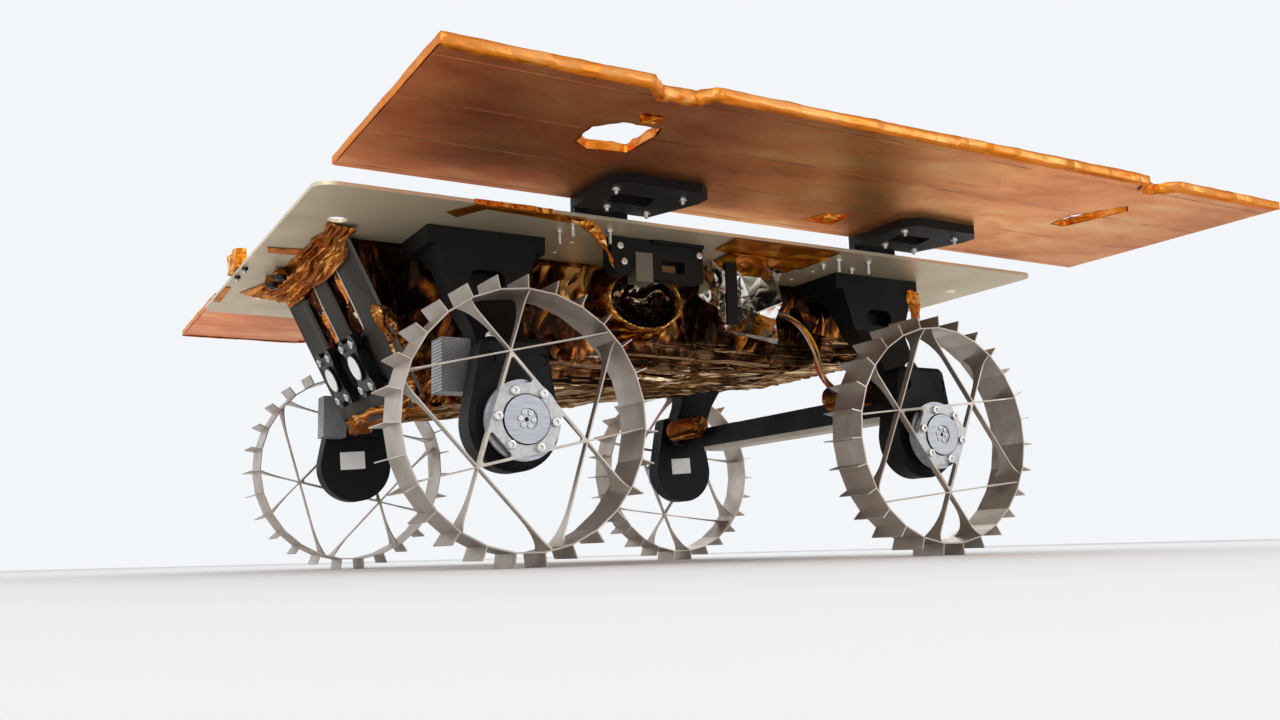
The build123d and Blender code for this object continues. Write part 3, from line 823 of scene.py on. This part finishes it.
def gathered(u, v):
    """Pleats side by side along the bracket's upper edge, from the deck down over its face."""
    y = mix(*gathered_ends, v)
    beyond = smooth((abs(y) - bracket_half) / 14)
    front = gathered_front + 5 * noise.noise(Vector((y / 26, 0, 3))) + 9 * smooth((-y - 70) / 60)
    end = mix(gathered_rear, gathered_rear + 4, beyond)
    drop = mix(17 * u ** 1.5, 3 * u, beyond)
    point = at(mix(front, end, u), y, deck_under - 0.8 - drop)
    ripple = 1.7 * math.sin(2 * math.pi * (4.4 * u + 0.7 * noise.noise(Vector((y / 55, u, 2)))))
    swell = (3.0 * math.sin(math.pi * u) + ripple) * (1 - 0.75 * beyond) * smooth(u * 6)
    point += Vector((0.55, 0, -0.83)) * swell / 1000
    loose = 1 - 0.85 * beyond
    point = pucker(point, 0.022, 0.0035 * smooth(u * 4) * loose, 0.0, 0.35)
    point = pucker(point, 0.007, 0.0014 * loose, 2.0, 0.10)
    point.z = min(point.z, (deck_under - 0.5) / 1000)
    return point


loose_film("gathered_film", 40, 170, gathered, pleated_tape, soft=26)

# %% Film round the bracket's lower edge and its left side
slope_top = at(312, 0, deck_under)
slope_foot = at(242, 0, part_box("camera_bracket")[0][2] * 1000)
slope_length = (slope_foot - slope_top).length
down_slope = (slope_foot - slope_top).normalized()
off_slope = Vector((-down_slope.z, 0, down_slope.x))
hem_ends = (-0.115, 0.120)
hem_turns = (20, 235)
hem_radius = 0.0085
hem_side = 0.1175


def lower_hem(u, v):
    """Round the lower edge: up the face at u 0, back under the belly at u 1."""
    y = mix(*hem_ends, v)
    turn = math.radians(mix(*hem_turns, u))
    radius = hem_radius + 0.004 * abs(u - 0.5)
    centre = slope_foot + Vector((-0.006, y, 0.004))
    point = centre + Vector((math.cos(turn) * radius, 0, -math.sin(turn) * radius * 0.7))
    if u < 0.2:
        point -= down_slope * (0.2 - u) * 0.05
    if u > 0.8:
        point.x -= (u - 0.8) * 0.12
    return pucker(pucker(point, 0.016, 0.006, 5.0, 0.5), 0.006, 0.0018, 6.0, 0.25)


def side_hem(u, v):
    """Along the bracket's left edge: on the face at u 0, back along the body's side at u 1."""
    point = slope_top + down_slope * mix(slope_length * 0.42, slope_length, v)
    back = max(0.0, u - 0.25) * mix(0.020, 0.046, v)
    across = hem_side + 0.003 * math.sin(u * 3.1) - 0.006 * smooth(u * 2)
    point += Vector((-back, across, 0)) + off_slope * 0.001
    if u < 0.25:
        point += Vector((0.001, (u - 0.25) * 0.05, 0))
    return pucker(pucker(point, 0.018, 0.006, 9.0), 0.006, 0.0018, 3.0)


loose_film("lower_hem", 20, 100, lower_hem, old_tape, keep=0.6, soft=45)
loose_film("side_hem", 20, 70, side_hem, old_tape, keep=0.6, soft=45)


# %% Tape under the deck
def flat_tape(corners, lift, ruffle):
    """A shape between four corners under the deck, as (x, y), slightly wavy."""
    first, second, third, fourth = (Vector((*corner, 0)) for corner in corners)

    def shape(u, v):
        place = mix(mix(first, second, u), mix(fourth, third, u), v)
        wave = ruffle * noise.noise(Vector((place.x / 22, place.y / 14, 1.5)))
        return at(place.x, place.y, deck_under - lift + wave)
    return shape


# Tapes under the deck: name, four corners in X and Y, lift from the deck, ruffle
tapes = (
    ("edge_tape_end", ((246, 203), (258, 212), (243, 241), (228, 241)), 0.7, 0.3),
    ("edge_tape", ((243, 241), (150, 241), (150, 225), (232, 233)), 1.0, 0.5),
    ("front_tape", ((360, 50), (356, 34), (324, 36), (326, 56)), 0.8, 0.3),
    ("front_triangle", ((348, -137), (334, -82), (318, -84), (312, -130)), 0.9, 0.3),
    ("corner_tape", ((365, -183), (358, -186), (360, -116), (365, -114)), 0.8, 0.3),
    ("foil_tape", ((7, 241), (-110, 241), (-114, 172), (2, 202)), 1.4, 0.9),
    ("bag_tape", ((-14, 206), (-106, 196), (-104, 150), (-20, 158)), 2.6, 1.6),
)
for name, *tape in tapes:
    loose_film(name, 30, 20, flat_tape(*tape), clear_tape, soft=60)

# %% Bright scraps at the deck's edge, on a leg and under the right panel
flap_line = [at(160, 240, deck_under - 1), at(142, 232, 270), at(130, 222, 262), at(117, 211, 256),
             at(106, 206, 249)]
flap_widths = (0.042, 0.007)
panel_low, panel_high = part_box("panel_right")
panel_inner = panel_high[1] * 1000
panel_under = panel_low[2] * 1000


def flap(u, v):
    """A twisted strip from the deck's edge to the connector, wide at first and narrow at its tip."""
    step = min(v, 0.999) * (len(flap_line) - 1)
    index = int(step)
    point = mix(flap_line[index], flap_line[index + 1], step - index)
    width = mix(*flap_widths, smooth(v * 1.1))
    turn = v * 1.3
    point += Vector((math.cos(turn), 0.25, math.sin(turn))) * width * (u - 0.5)
    return pucker(point, 0.016, 0.004, 1.0)


def leg_tape(u, v):
    """A scrap that hangs behind the left rear leg."""
    point = at(mix(-262, -248, u), 175.5 + 2 * math.sin(u * 3.1), mix(264, 236, v))
    return pucker(point, 0.016, 0.004, 2.0)


def edge_wrap(u, v):
    """Over the deck's left edge, from just under it to its upper corner."""
    point = at(mix(246, 180, v), deck_side + 0.5, mix(deck_under - 0.8, deck_over + 0.4, u))
    return pucker(point, 0.014, 0.0006)


def inner_tape(u, v):
    """Crumpled tape below the inner edge of the right panel, ahead of its front hinge."""
    point = at(mix(356, 192, v), mix(panel_inner - 1, panel_inner - 15, u), panel_under - 1.2)
    return pucker(pucker(point, 0.020, 0.0012), 0.008, 0.0010, 3.0)


loose_film("edge_flap", 10, 40, flap, bright_amber, keep=0.8, soft=50)
loose_film("leg_tape", 14, 20, leg_tape, bright_amber, keep=0.8, soft=40)
loose_film("edge_wrap", 6, 50, edge_wrap, bright_amber, keep=1, soft=40)
loose_film("inner_tape", 10, 80, inner_tape, bright_amber, keep=0.8, soft=40, body="panel_body_right")

# %% [markdown]
# ## Panel borders
#
# The panels' edges and the rims of their openings are bound with bright amber tape. A copy of the
# panel is inset from every edge and its middle is deleted. So are the parts of the band that stay
# bare: the edges at the hinges and the rear, and the underside in front and round the openings. The
# rest is cut into short lengths, puckered and set just outside the panel.

# %% Panel borders
flange = 0.0042
rim_width = 0.022
longest_edge = 0.0055


def panel_border(side):
    low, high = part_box("panel_" + side)
    hinge_side = min(abs(low[1]), abs(high[1])) + flange * 1.1
    outer_side = max(abs(low[1]), abs(high[1]))

    def left_bare(face):
        middle = face.calc_center_median()
        inside = outer_side - abs(middle.y) > rim_width
        below = face.normal.z < -0.9 and (inside or middle.x > high[0] - flange * 1.1)
        return abs(middle.y) < hinge_side or middle.x < low[0] + flange or below

    def looseness(point):
        """1 in the notches and round the openings, 0 along the plain edges."""
        from_side = outer_side - abs(point.y)
        return smooth((from_side - 0.002) / 0.008) * smooth((high[0] - point.x - 0.008) / 0.01)

    def puckered(point, normal):
        plain = 0.0005 + 0.0005 * crease(point, 0.034, 3.0) + 0.0002 * crease(point, 0.010)
        loose = 0.0006 + 0.0014 * crease(point, 0.013, 3.0)
        return max(mix(plain, loose, looseness(point)), 0.0003)

    # Painted reflection: the tape's wall is paler than its flange, as if lit by the sky, and its loose parts
    # take a tone by their lean
    def border_reflection_tone(centre, normal):
        plain = mix(0.40, 0.68, smooth(1.6 - 2 * abs(normal.z))) + 0.14 * noise.noise(centre * 30.0)
        return mix(plain, 0.10 + 0.62 * reflection_and_random_tone(centre, normal), 0.8 * looseness(centre))

    piece = copy_of("panel_" + side, "border_" + side)
    bpy.ops.object.mode_set(mode="EDIT")
    select_parts(piece, "FACE", lambda face: abs(face.normal.z) > 0.9)
    bpy.ops.mesh.inset(thickness=flange, use_boundary=True, use_even_offset=True)
    bpy.ops.mesh.delete(type="FACE")
    select_parts(piece, "FACE", left_bare)
    bpy.ops.mesh.delete(type="FACE")
    for _ in range(8):
        select_parts(piece, "EDGE", lambda edge: edge.calc_length() > longest_edge)
        bpy.ops.mesh.subdivide(number_cuts=1)
    bpy.ops.mesh.select_all(action="SELECT")
    bpy.ops.mesh.quads_convert_to_tris()
    bpy.ops.object.mode_set(mode="OBJECT")
    move_points(piece, puckered)
    use_modifier(piece, "SOLIDIFY", thickness=0.0003, offset=0)
    set_tones(piece, border_reflection_tone, soft=42)
    print("border facets:", len(piece.data.polygons))
    return settle(piece, "border_" + side, edge_tape, "panel_body_" + side)


for side_name, _ in sides:
    panel_border(side_name)

# %% Film in the panels' windows and beside their large holes
# Places on the left panel in millimetres
window_x = (-79, -43)
window_y = (265, 300)
spot_x = 193
spot_y = 419
spot_radius = 7.5
for side_name, side in sides:
    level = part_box("panel_" + side_name)[0][2] * 1000

    def sheet(u, v):
        """Crumpled film that closes the window; its bright orange is painted light that shines through it
        from above.
        """
        point = at(mix(*window_x, u), side * mix(*window_y, v), level + 1.5)
        return pucker(pucker(point, 0.016, 0.005, 4.0), 0.006, 0.0025)

    def spot(u, v):
        """A spot of the same film beside the large hole."""
        turn = v * 2 * math.pi
        reach = u * (spot_radius + 1.5 * math.sin(3 * turn))
        point = at(spot_x + reach * math.cos(turn), side * (spot_y + reach * math.sin(turn)), level - 0.9)
        return pucker(point, 0.006, 0.0012, 4.0)

    body = "panel_body_" + side_name
    loose_film("window_film_" + side_name, 20, 20, sheet, window_gold, keep=0.8, body=body)
    loose_film("film_spot_" + side_name, 6, 24, spot, window_gold, keep=1, body=body)

# %% [markdown]
# ## Copper film on the panels
#
# The film under the panels is smooth: cloudy copper with wide streaks along the panel and a few thin
# seams where one width of film meets the next. The seams are lines at set places across the panel.
# Along the panel its colour changes in wide bands, darker at the front and paler towards the rear:
# painted reflections of the surroundings.

# %% Copper film
seam_places = (0.250, 0.319, 0.386, 0.454)
film_ends = (middle_x + 0.33, middle_x - 0.36)


def copper_film():
    material = new_material("copper film")
    split = add_node("SeparateXYZ", {"Vector": object_place()})
    streaks = cloud(object_place(stretch=(0.8, 1.4, 1)), 7.0, detail=7, roughness=0.58, distortion=0.9)
    blotches = cloud(object_place(stretch=(0.6, 1.3, 1)), 26.0, detail=6, roughness=0.6, distortion=0.6)
    # Painted reflections: along the panel the colour runs darker at the front and paler to the rear, in wide
    # bands
    to_rear = spread(split.outputs["X"], *film_ends)
    value = calculate("ADD", streaks, over_noise(blotches, -0.11, 0.11))
    front_warm = ramp(value, [(0.30, (0.54, 0.140, 0.056)), (0.50, (0.84, 0.260, 0.104)),
                              (0.72, (1.0, 0.46, 0.170))])
    rear_warm = ramp(value, [(0.28, (0.70, 0.270, 0.102)), (0.50, (0.94, 0.455, 0.188)),
                             (0.72, (1.0, 0.70, 0.35))])
    copper_reflection_band = ramp(to_rear, [(0.0, (1.0, 1.0, 1.0)), (0.26, (0.46, 0.38, 0.36)), (0.46, (1.0, 1.0, 0.80)),
                           (0.78, (0.98, 0.88, 0.76)), (1.0, (0.72, 0.60, 0.52))])
    tint = mix_colours(to_rear, front_warm, rear_warm)
    tint = mix_colours(1.0, tint, copper_reflection_band, "MULTIPLY")
    across = calculate("ABSOLUTE", split.outputs["Y"])
    line = 1.0
    for y in seam_places:
        away = calculate("ABSOLUTE", calculate("SUBTRACT", across, y))
        line = calculate("MINIMUM", line, spread(away, 0.0004, 0.0012))
    worn = cloud(object_place(stretch=(8, 1, 1)), 3.0)
    dark_line = calculate("MAXIMUM", line, spread(worn, 0.44, 0.54, 0.45, 1.0))
    return set_surface(material, mix_colours(dark_line, (0.07, 0.02, 0.012, 1), tint),
                       over_noise(blotches, 0.42, 0.28),
                       Metallic=0.92, Specular_Tint=(1.0, 0.82, 0.70, 1),
                       Normal=bump(line, 0.0003, Normal=bump(blotches, 0.0005)))


cover_nodes("panel_", copper_film())


# %% Solar cells
cell_length = 0.0685
cell_width = 0.0385
cell_gap = 0.0012


def solar_cells():
    material = new_material("solar cells")
    place = object_place()
    sockets = {"Vector": place, "Scale": 1.0, "Mortar Size": cell_gap, "Mortar Smooth": 0.1,
               "Brick Width": cell_length, "Row Height": cell_width, "Color1": (0.012, 0.018, 0.055, 1),
               "Color2": (0.016, 0.024, 0.075, 1), "Mortar": (0.45, 0.45, 0.47, 1)}
    grid = add_node("TexBrick", sockets, offset=0.0)
    haze = cloud(place, 6.0, detail=3)
    return set_surface(material, grid.outputs["Color"], over_noise(haze, 0.30, 0.18),
                       Specular_IOR_Level=0.3)


cover_nodes("cells_", solar_cells())

# %% [markdown]
# ## Wire harness
#
# A bundle of coloured wires hangs from the body's side to the left rear motor. The bundle's line is a
# smooth NURBS curve, and each wire winds loosely about points read from it.

# %% Wire harness
harness_points = [at(*point) for point in (
    (-101, 108.3, 240), (-102, 122, 240), (-108, 137, 238), (-121, 147, 231), (-134, 151, 219),
    (-142, 152, 204), (-146, 151, 190), (-150.5, 150, 178), (-156.2, 150, 168.1), (-167.9, 150, 162.6),
)]
core_radius = 0.0012
wire_radius = 0.0010


def add_line(name, kind, points):
    """A curve through or by the points, and its spline."""
    curve = bpy.data.curves.new(name, "CURVE")
    curve.dimensions = "3D"
    spline = curve.splines.new(kind)
    spline.points.add(len(points) - 1)
    for control, point in zip(spline.points, points):
        control.co = (*point, 1)
    return curve, spline


def thicken(curve, radius):
    curve.bevel_depth = radius
    curve.bevel_resolution = 2


def wire_cover(name, colour):
    material = new_material(name)
    worn = cloud(object_place(), 160.0)
    return set_surface(material, ramp(worn, [(0.35, darker(colour, 0.7)), (0.6, colour)]), 0.4)


route, spline = add_line("harness line", "NURBS", harness_points)
spline.order_u = 3
spline.use_endpoint_u = True
route.resolution_u = 10
line_object = add_object("harness_core", route)
line_mesh = bpy.data.meshes.new_from_object(line_object)
line_points = [vertex.co.copy() for vertex in line_mesh.vertices]
harness_length = sum((b - a).length for a, b in zip(line_points, line_points[1:]))
print("harness length", round(harness_length, 4))

# Wires: name, colour, start of its turn in degrees, distance from the middle in millimetres
wires = (
    ("yellow", (0.92, 0.50, 0.02), 0, 2.3),
    ("blue", (0.03, 0.07, 0.42), 60, 2.0),
    ("red", (0.50, 0.03, 0.02), 125, 2.2),
    ("white", (0.75, 0.72, 0.66), 190, 2.0),
    ("orange", (0.92, 0.30, 0.015), 250, 2.3),
    ("black", (0.015, 0.015, 0.015), 305, 2.0),
)
last = len(line_points) - 1
for name, colour, start, reach in wires:
    places = []
    for index, point in enumerate(line_points):
        share = index / last
        ahead = line_points[min(index + 1, last)] - line_points[max(index - 1, 0)]
        side_way = ahead.cross(Vector((0, 0.3, 1))).normalized()
        up_way = side_way.cross(ahead).normalized()
        turn = math.radians(start + 190 * share + 40 * math.sin(share * 9 + start))
        loose = reach * 0.001 * (1 - 0.25 * math.sin(share * 7 + start))
        places.append(point + (side_way * math.cos(turn) + up_way * math.sin(turn)) * loose)
    strand, _ = add_line("wire " + name, "POLY", places)
    thicken(strand, wire_radius)
    strand.use_fill_caps = True
    wire = add_object("wire_" + name, strand)
    cover(wire, wire_cover("wire " + name, colour))
    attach(wire, "chassis")
thicken(route, core_radius)
cover(line_object, wire_cover("wire core", (0.10, 0.05, 0.02)))
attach(line_object, "chassis")
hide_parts("harness")

# %% [markdown]
# ## Screws
#
# Bright screws are what the eye finds first on a dark machine. One cap screw is modelled: a cylinder
# with a bevelled rim, its top inset and pushed in for the socket. Copies of it, larger or smaller, go
# to every place, each with its own mesh, and the copies on one body are joined.


# %% Screw metals
def screw_metal(name, colour, rough):
    material = new_material(name)
    marks = cloud(object_place(), 700.0, detail=3)
    return set_surface(material, ramp(marks, [(0.3, darker(colour, 0.6)), (0.62, colour)]),
                       over_noise(marks, rough + 0.1, rough), Metallic=1.0)


steel = screw_metal("steel", (0.82, 0.81, 0.79), 0.25)
dark_steel = screw_metal("dark steel", (0.045, 0.042, 0.04), 0.35)
models = []


# %% Screws, nuts and threads as single models
def add_rod(sides, radius, height, level):
    """A cylinder about the Z axis with its middle at a level, left in edit mode."""
    bpy.ops.object.select_all(action="DESELECT")
    bpy.ops.mesh.primitive_cylinder_add(vertices=sides, radius=radius, depth=height, location=(0, 0, level))
    bpy.ops.object.transform_apply(location=True)
    bpy.ops.object.mode_set(mode="EDIT")
    models.append(bpy.context.object)
    return bpy.context.object


def cap_screw(radius, height, socket, sides=20, socket_depth=0.6):
    """A screw's head that stands on the origin, with a socket in its top."""
    piece = add_rod(sides, radius, height, height / 2)
    select_parts(piece, "FACE", lambda face: face.normal.z > 0.9)
    bpy.ops.mesh.bevel(offset=radius * 0.12, segments=2, affect="EDGES")
    select_parts(piece, "FACE", lambda face: face.normal.z > 0.999)
    bpy.ops.mesh.inset(thickness=radius * 0.88 - socket)
    bpy.ops.mesh.extrude_region_move(TRANSFORM_OT_translate={"value": (0, 0, -height * socket_depth)})
    bpy.ops.object.mode_set(mode="OBJECT")
    bpy.ops.object.shade_smooth_by_angle(angle=math.radians(35))
    return piece


def thread(radius, length, turns):
    """A bare screw end below the origin: rings cut into a rod."""
    piece = add_rod(12, radius, length, -length / 2)
    select_parts(piece, "EDGE", lambda edge: abs(edge.verts[0].co.z - edge.verts[1].co.z) > length * 0.5)
    bpy.ops.mesh.subdivide(number_cuts=turns * 2)
    bpy.ops.object.mode_set(mode="OBJECT")
    levels = sorted({round(vertex.co.z, 6) for vertex in piece.data.vertices})
    for vertex in piece.data.vertices:
        if levels.index(round(vertex.co.z, 6)) % 2:
            vertex.co.x *= 0.84
            vertex.co.y *= 0.84
    return piece


def spread_copies(source, points, way, name, material=steel, body="chassis"):
    """Copies of a model at some points with their tops turned one way, joined into one piece."""
    turned = way.to_track_quat("Z", "Y").to_matrix().to_4x4()
    made = [add_object(name, source.data.copy()) for _ in points]
    for copy, point in zip(made, points):
        copy.matrix_world = Matrix.Translation(point) @ turned
    bpy.ops.object.select_all(action="DESELECT")
    for copy in made:
        copy.select_set(True)
    bpy.context.view_layer.objects.active = made[0]
    if len(made) > 1:
        bpy.ops.object.join()
    return settle(made[0], name, material, body)


down = Vector((0, 0, -1))
up = Vector((0, 0, 1))

# %% Hub screws
hub_screw = cap_screw(0.0036, 0.0030, 0.0019)
small_screw = cap_screw(0.0019, 0.0012, 0.0011, sides=12, socket_depth=0.9)
# Rings of six: name, model, distance from the axis, how deep the screws sit in the hub's face
rings = (("hub_screws_", hub_screw, 0.0236, 0.0012), ("hub_ring_", small_screw, 0.0055, 0.0014))
first_turns = {"front_left": 4, "front_right": 20, "rear_left": 12, "rear_right": 33}
for name in nodes:
    if not name.startswith("wheel_"):
        continue
    place = name.removeprefix("wheel_")
    low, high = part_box("hub_" + place)
    side = 1 if place.endswith("left") else -1
    axis = Vector(((low[0] + high[0]) / 2, high[1] if side > 0 else low[1], axle_height))
    outward = Vector((0, side, 0))
    turns = [math.radians(first_turns[place] + 60 * step) for step in range(6)]
    ways = [Vector((math.cos(turn), 0, math.sin(turn))) for turn in turns]
    for ring_name, model, radius, sunk in rings:
        points = [axis + way * radius - outward * sunk for way in ways]
        spread_copies(model, points, outward, ring_name + place, body="wheel_body_" + place)

# %% Screws and nuts on the hinges
long_thread = thread(0.0016, 0.0125, 9)
short_thread = thread(0.0015, 0.0055, 4)
nut = cap_screw(0.0031, 0.0024, 0.0016, sides=6, socket_depth=0.95)
# Screws through the deck under the hinges: x, y and whether the thread is long
deck_screws = ((155, 201, 1), (154, 224, 1), (117, 218, 1), (119, 199, 0), (-125, 194, 0), (-126, 216, 1),
               (-161, 192, 0), (-158, 220, 1))
for side_name, side in sides:
    points = [at(x, side * y, deck_under) for x, y, _ in deck_screws]
    longs = [point for point, screw in zip(points, deck_screws) if screw[2]]
    shorts = [point for point, screw in zip(points, deck_screws) if not screw[2]]
    spread_copies(nut, points, down, "deck_nuts_" + side_name)
    spread_copies(long_thread, longs, up, "deck_threads_" + side_name)
    spread_copies(short_thread, shorts, up, "deck_ends_" + side_name)

# %% Screws on the hinge leaves
leaf_inner_y = 0.243
leaf_half_width = 0.046
leaf_screws = ((20, 18), (34, 60), (-26, 58), (-18, 14))
for side_name, side in sides:
    points = []
    for end_name, _ in ends:
        low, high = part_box("hinge_leaf_%s_%s" % (side_name, end_name))
        middle = low[0] + leaf_half_width
        inner_y = leaf_inner_y * side
        points += [Vector((middle + x / 1000, inner_y + side * y / 1000, low[2])) for x, y in leaf_screws]
    body = "panel_body_" + side_name
    spread_copies(nut, points, down, "leaf_nuts_" + side_name, body=body)
    spread_copies(short_thread, points, up, "leaf_ends_" + side_name, body=body)

# %% Screws on the cameras, legs, connector and sensor
camera_screw = cap_screw(0.0040, 0.0022, 0.0019)
leg_screw = cap_screw(0.0046, 0.0025, 0.0026, socket_depth=0.9)
lug_screw = cap_screw(0.0030, 0.0022, 0.0014)
camera_side = 0.039
camera_level = 103
# Places in millimetres, for at(); the legs' is mirrored to all four
leg_screw_at = (217, 203, 181)
leg_screw_sunk = 0.0035
lug_screws_at = ((100.5, 204, 266.9), (97, 204, 253.5), (21.5, 204, 266))
sensor_nuts_at = ((363, -31, deck_under), (363, -67.5, deck_under))


def on_slope(side, down_mm, across_mm, off_mm):
    """A point by a camera and its slot: down the slope, across from their middle and off the sheet."""
    return (slope_top + down_slope * down_mm / 1000 + Vector((0, side * camera_side + across_mm / 1000, 0))
            + off_slope * off_mm / 1000)


for side_name, side in sides:
    points = [on_slope(side, camera_level + along, across, 14) for along in (-20, 20) for across in (-15, 15)]
    spread_copies(camera_screw, points, off_slope, "camera_screws_" + side_name)
for end_name, end in ends:
    for side_name, side in sides:
        x, y, z = leg_screw_at
        outward = Vector((0, side, 0))
        point = at(end * x, side * y, z) - outward * leg_screw_sunk
        spread_copies(leg_screw, [point], outward, "leg_screw_%s_%s" % (end_name, side_name))
spread_copies(lug_screw, [at(*place) for place in lug_screws_at], Vector((0, 1, 0)), "connector_screws")
points = [at(*place) for place in sensor_nuts_at]
spread_copies(nut, points, down, "sensor_nuts", dark_steel)
spread_copies(short_thread, points, up, "sensor_ends")

# %% Knobs in amber film under the deck
knob = cap_screw(0.0052, 0.0095, 0.0024, sides=24)
knob_wrap = cap_screw(0.0074, 0.0050, 0.0040, sides=12, socket_depth=0.3)
knobs_at = ((333, -20, deck_under - 2.0), (333, -56, deck_under - 2.0))
points = [at(*place) for place in knobs_at]
spread_copies(knob, points, down, "knobs", dark_steel)
knob_film = spread_copies(knob_wrap, points, down, "knob_film", old_tape)
for vertex in knob_film.data.vertices:
    vertex.co = pucker(vertex.co, 0.008, 0.003, 4.0)
set_tones(knob_film)

# %% Inside the bracket's slots and the port
# The slots' ends down the slope, half their width and each side's scrap's top, in millimetres
slot_ends = (14, 77)
slot_half = 22
scrap_tops = {1: 17, -1: 44}
# Half the width and half the height of the dark film that stands in for the shade inside the port, in metres
port_shade_radii = (0.0360, 0.0260)
for side_name, side in sides:
    scrap_top = scrap_tops[side]

    # Dark film behind each slot: painted shade that stands in for the shade there
    def slot_shade(u, v):
        place = on_slope(side, mix(*slot_ends, v), mix(-slot_half, slot_half, u), -4.2)
        return pucker(place, 0.020, 0.004, side)

    def amber_scrap(u, v):
        place = on_slope(side, mix(scrap_top, scrap_top + 30, v), mix(2, 17, u) * (1 - 0.30 * v), -2.2)
        return pucker(place, 0.014, 0.003, side)

    def rail(u, v):
        width = mix(1.4, 3.0, v)
        return pucker(on_slope(side, mix(*slot_ends, v), 20.5 - width * (1 - u), -0.9), 0.030, 0.001)

    loose_film("slot_lining_" + side_name, 20, 34, slot_shade, shade_film, keep=0.6, soft=35)
    loose_film("slot_amber_" + side_name, 10, 16, amber_scrap, bright_amber, keep=0.7, soft=35)
    loose_film("slot_rail_" + side_name, 4, 12, rail, strip_sheet, keep=1, wall=0.0010)


def port_lining(u, v):
    """Dark crumpled film just behind the port's lip: painted shade that stands in for the shade inside the
    port.
    """
    turn = v * 2 * math.pi
    reach = Vector((port_shade_radii[0] * math.cos(turn), 0, port_shade_radii[1] * math.sin(turn))) * u
    deep = Vector((0, port_high[1] - 0.009 - 0.010 * (1 - u * u) - port_middle.y, 0))
    return pucker(pucker(port_middle + reach + deep, 0.020, 0.007 * (1 - u)), 0.007, 0.002 * (1 - u), 3.0)


loose_film("port_lining", 16, 48, port_lining, shade_film, keep=0.8, soft=35)

# %% Lens covers and blank plates
paper = new_material("pale plate")
paper_grain = cloud(object_place(), 180.0, detail=5)
set_surface(paper, ramp(paper_grain, [(0.35, (0.90, 0.88, 0.84)), (0.65, (0.97, 0.96, 0.93))]),
            over_noise(paper_grain, 0.5, 0.35), Normal=bump(paper_grain, 0.00005))
cover_model = cap_screw(0.0115, 0.0009, 0.0098, sides=40, socket_depth=0.4)
for side_name, side in sides:
    point = on_slope(side, camera_level, 0, 16.5)
    spread_copies(cover_model, [point], off_slope, "lens_cover_" + side_name, paper)

# A thin plate with bevelled corners on the inner face of each right drive
plate_size = (0.027, 0.0006, 0.019)
plate_shift = (0.004, 0.0002, 0.006)
plate_tilt = 4
for end_name, _ in ends:
    low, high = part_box("drive_%s_right" % end_name)
    face = ((low[0] + high[0]) / 2, high[1], axle_height)
    middle = Vector([place + shift for place, shift in zip(face, plate_shift)])
    bpy.ops.object.select_all(action="DESELECT")
    bpy.ops.mesh.primitive_cube_add(size=1, location=middle, scale=plate_size)
    plate = bpy.context.object
    bpy.ops.object.transform_apply(location=False, rotation=False, scale=True)
    plate.rotation_euler = (0, math.radians(plate_tilt), 0)
    use_modifier(plate, "BEVEL", width=0.0008, segments=2)
    settle(plate, "blank_plate_" + end_name, paper, "chassis")

print("screw models:", len(models))
for model in models:
    bpy.data.objects.remove(model)

# %% The sizes of the CAD model and of the scene
size = {"cad": [list(corner) for corner in cad_box], "scene": [list(corner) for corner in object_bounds()]}
